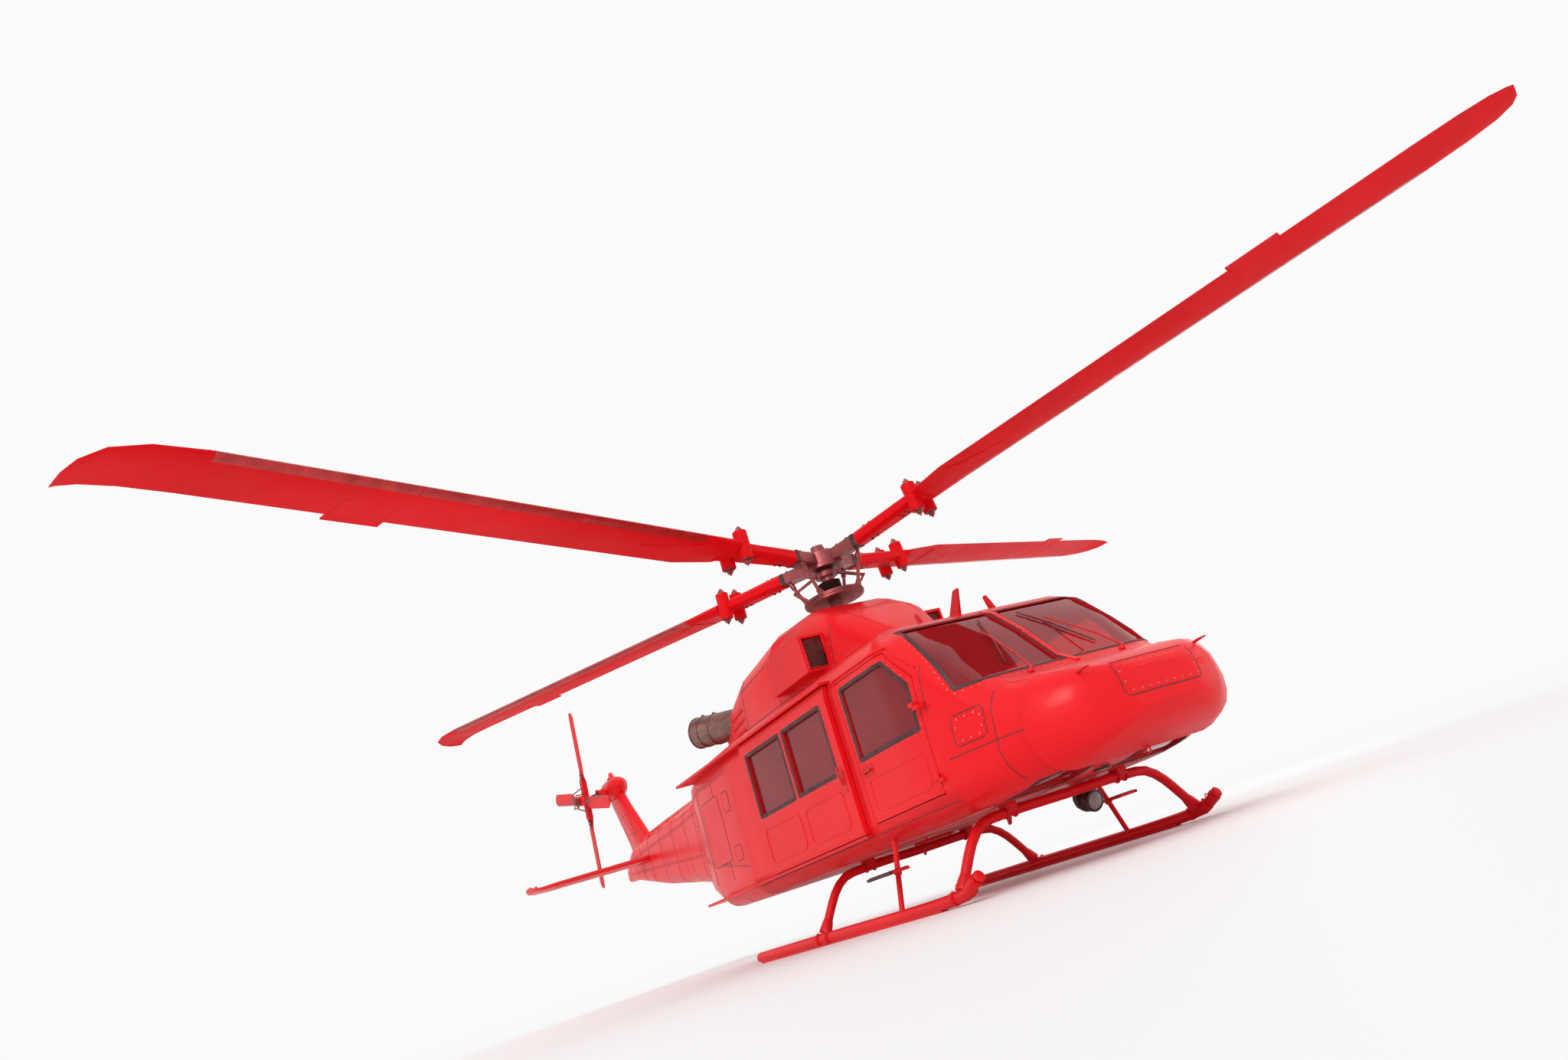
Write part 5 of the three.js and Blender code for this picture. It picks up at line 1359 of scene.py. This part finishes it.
for details in (glazing, wipers, centre_post, hull_seams, hatches, door_fittings, door_linings, cowling_details,
                intakes, exhaust_details, tail_details, blade_details, hub_details, tail_rotor_details,
                landing_gear_details, roof_and_belly, cockpit, cabin_lining):
    details()
    for form in Form.waiting[:]:
        form.made()

# Seats: crowned cushions with sewn channels and piping on a tube frame, with flat harness straps
CLOTH = {"use_pressure": True, "uniform_pressure_force": 4.0, "quality": 4, "mass": 0.2, "tension_stiffness": 15.0,
         "compression_stiffness": 15.0, "bending_stiffness": 0.5}
CLOTH_FRAMES, MOST_SWELL = 16, 0.009
SQUARENESS, PULL, STRAP_THICK = 7, 0.035, 2.5
CHANNEL_DEPTH, CHANNEL_WIDTH, CHANNEL_HELD = 0.009, 0.035, 0.045
# Where through a pad, from -1 to 1, its base ends, its crown starts and its piping runs, and the band held by the
# piping, which is as far out as RIM
BASE_W, CROWN_W, PIPING_W, PIPED_W, RIM = -0.5, 0.5, 0.62, (0.35, 0.85), 0.8
JOINED = 0.0005
swells = {}


class Cushion:
    """A crowned pad, flat or upright. place(u, v, w) maps the cube from -1 to 1 on its skin, w through the pad."""

    def __init__(self, centre, flat, half, crown=0.018, channels=()):
        self.centre, self.half, self.crown, self.channels = Vector(centre), half, crown, channels
        self.axes = (ACROSS, AHEAD, UP) if flat else (ACROSS, UP, AHEAD)

    def place(self, u, v, w):
        ease = (abs(u) ** SQUARENESS + abs(v) ** SQUARENESS + abs(w) ** SQUARENESS) ** (-1 / SQUARENESS)
        u, v, w = u * ease, v * ease, w * ease
        x = u * self.half[0] * (1 - PULL * (1 - v * v))
        y = v * self.half[1] * (1 - PULL * (1 - u * u))
        swell = self.crown * (1 - u * u) * (1 - v * v) if w > 0 else 0.0
        channels = self.channels if w > CROWN_W else ()
        dip = sum(CHANNEL_DEPTH * exp(-((v - at) / CHANNEL_WIDTH) ** 2) for at in channels)
        z = w * self.half[2] + (swell - dip) * max(w, 0)
        return self.centre + self.axes[0] * x + self.axes[1] * y + self.axes[2] * z

    def made(self, name, shape, fill, count):
        """The cushion as an object, its cover swollen between its seams."""
        form = Form(name, "cloth", crease=80)
        steps = [-1 + 2 * k / count for k in range(count + 1)]
        for axis in range(3):
            for end in (-1, 1):
                form.sheet([[self.place(*(a, b)[:axis], end, *(a, b)[axis:]) for b in steps] for a in steps])
        obj = form.made()
        work = bmesh.new()
        work.from_mesh(obj.data)
        bmesh.ops.remove_doubles(work, verts=work.verts, dist=JOINED)
        bmesh.ops.recalc_face_normals(work, faces=work.faces)
        work.to_mesh(obj.data)
        work.free()
        self.fill(obj, shape)

    def sewn(self, point):
        """Whether a point of the skin lies on a seam: the edge piping, a channel or the base."""
        u, v, w = (axis.dot(point - self.centre) / half for axis, half in zip(self.axes, self.half))
        on_edge = PIPED_W[0] < w < PIPED_W[1] and max(abs(u), abs(v)) > RIM
        on_channel = w > CROWN_W and any(abs(v - at) < CHANNEL_HELD for at in self.channels)
        return w < BASE_W or on_edge or on_channel

    def fill(self, obj, shape):
        """Swell the cover between its seams with a short cloth run; pads of one shape share one run."""
        points = [vertex.co.copy() for vertex in obj.data.vertices]
        if shape not in swells:
            held = obj.vertex_groups.new(name="held")
            held.add([i for i, point in enumerate(points) if self.sewn(point)], 1.0, "REPLACE")
            cloth = obj.modifiers.new("cloth", "CLOTH")
            for key, value in CLOTH.items():
                setattr(cloth.settings, key, value)
            cloth.settings.vertex_group_mass = held.name
            cloth.settings.effector_weights.gravity = 0
            cloth.point_cache.frame_end = CLOTH_FRAMES
            for moment in range(1, CLOTH_FRAMES + 1):
                scene.frame_set(moment)
            settled = obj.evaluated_get(bpy.context.evaluated_depsgraph_get()).data
            swell = [after.co - before for after, before in zip(settled.vertices, points)]
            swells[shape] = [move * min(1, MOST_SWELL / max(move.length, 1e-9)) for move in swell]
            obj.modifiers.remove(cloth)
            obj.vertex_groups.remove(held)
            scene.frame_set(1)
        for vertex, point, move in zip(obj.data.vertices, points, swells[shape]):
            vertex.co = point + move
        obj.data.update()

    def piping(self, form, count):
        steps = [-1 + 2 * k / count for k in range(count)]
        edge = [*((t, -1) for t in steps), *((1, t) for t in steps), *((-t, 1) for t in steps),
                *((-1, -t) for t in steps)]
        form.tube([self.place(u, v, PIPING_W) for u, v in edge], 5.5, 8, True)


def strap(form, width, flat, *points):
    for start, end in zip(points, points[1:]):
        form.bar(start, end, width, STRAP_THICK, flat)


def crew_seat(side):
    node = f"crew_seat_{side}"
    low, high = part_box(node)
    x, y, floor_z, pan, back = low.x + 0.33, (low.y + high.y) / 2, low.z, low.z + 0.370, high.z
    piping, shell, harness = forms("airframe", side, crew_seat_piping="rubber", crew_seat_frame="fittings",
                                   crew_harness="rubber")

    def at(dx, dy, z):
        return x + dx, y + dy, z

    for name, fill, cushion in (
        ("pan", 0.75, Cushion(at(0.015, 0, pan - 0.062), True, (0.222, 0.222, 0.050), channels=(-0.35, 0.3))),
        ("back", 0.7, Cushion(at(-0.262, 0, (pan + back - 0.22) / 2 + 0.01), False,
                              (0.218, (back - 0.22 - pan) / 2 - 0.02, 0.040), 0.016, (-0.45, 0.0, 0.45))),
        ("head", 0.8, Cushion(at(-0.272, 0, back - 0.105), False, (0.118, 0.095, 0.034), 0.012)),
    ):
        cushion.made(f"crew_seat_{name}_{side}", f"crew_{name}", fill, 26)
        cushion.piping(piping, 18)
    for dy in (-0.13, 0.13):
        shell.tube([at(-0.17, dy, floor_z + 0.01), at(-0.17, dy, pan - 0.13), at(0.17, dy, pan - 0.13),
                    at(0.17, dy, floor_z + 0.01)], 16)
        shell.block(at(-0.185, dy - 0.018, floor_z + 0.001), at(0.185, dy + 0.018, floor_z + 0.02), 4)
    shell.block(at(-0.215, -0.225, pan - 0.128), at(0.235, 0.225, pan - 0.112), 6)
    for dy in (-0.222, 0.222):
        shell.tube([at(-0.305, dy, pan - 0.12), at(-0.318, dy, back - 0.26), at(-0.316, dy * 0.6, back - 0.225)],
                   14)
        shell.tube([at(-0.29, dy, pan + 0.10), at(-0.05, dy, pan + 0.13), at(0.02, dy, pan + 0.10)], 10, 8)
    shell.block(at(-0.322, -0.218, pan - 0.11), at(-0.306, 0.218, back - 0.235), 5)
    for dy in (-0.06, 0.06):
        shell.tube([at(-0.305, dy, back - 0.27), at(-0.305, dy, back - 0.08)], 8, 8)
    buckle = at(-0.06, 0, pan + 0.022)
    for dy in (-0.085, 0.085):
        strap(harness, 44, (1, 0, 0.35), at(-0.31, dy, back - 0.20), at(-0.20, dy, back - 0.24),
              at(-0.19, dy * 0.9, pan + 0.22), at(-0.12, dy * 0.4, pan + 0.07), buckle)
        strap(harness, 44, (0.15, 0, 1), at(-0.17, dy * 2.6, pan - 0.03), at(-0.13, dy * 1.9, pan + 0.028), buckle)
    harness.turned(buckle, (0.2, 0, 1), 20, (-6, 30), (8, 34), (14, 28), (16, 8))
    piping.made()
    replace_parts(shell.made(), node)
    harness.made()


def bench():
    low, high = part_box("bench_seat")
    count, top = 4, low.z + 0.410
    wide = (high.y - low.y) / count
    shell, piping, straps = forms(bench_frame="fittings", bench_piping="rubber", bench_straps="rubber")
    for k in range(count):
        y, half = low.y + wide * (k + 0.5), wide / 2 - 0.008
        for name, cushion in (
            ("seat", Cushion((low.x + 0.315, y, top - 0.045), True, (half, 0.195, 0.036), channels=(0.0,))),
            ("rest", Cushion((low.x + 0.052, y, (top + high.z) / 2 + 0.02), False,
                             (half, (high.z - top) / 2 - 0.045, 0.034), 0.012, (-0.33, 0.33))),
        ):
            cushion.made(f"bench_{name}_{k + 1}", f"bench_{name}", 0.7, 18)
            cushion.piping(piping, 12)
        buckle = Vector((low.x + 0.24, y, top + 0.014))
        for dy in (-0.17, 0.17):
            strap(straps, 42, (0.1, 0, 1), (low.x + 0.13, y + dy, top - 0.02),
                  (low.x + 0.16, y + dy * 0.7, top + 0.016), buckle)
        straps.block(*offsets(buckle, (-0.025, -0.03, -0.004), (0.025, 0.03, 0.010)), 3)
    back, front, foot, rail = low.x + 0.11, high.x - 0.03, high.x - 0.06, top - 0.098
    for x, z, radius in ((back, rail, 14), (front, rail, 14), (low.x + 0.014, top + 0.02, 12),
                         (low.x + 0.014, high.z - 0.02, 12)):
        shell.tube([(x, low.y + 0.01, z), (x, high.y - 0.01, z)], radius)
    for y in (low.y + 0.06, 0.0, high.y - 0.06):
        shell.tube([(back, y, rail), (back, y, low.z + 0.002)], 14)
        shell.tube([(front, y, rail), (foot, y, low.z + 0.002)], 14)
        shell.tube([(foot, y, low.z + 0.03), (back, y, top - 0.12)], 8, 8)
        for x in (back, foot):
            shell.turned((x, y, low.z), UP, 16, (0.5, 36), (8, 36), (12, 22))
    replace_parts(shell.made(), "bench_seat")
    piping.made()
    straps.made()


for side, _ in SIDES:
    crew_seat(side)
bench()
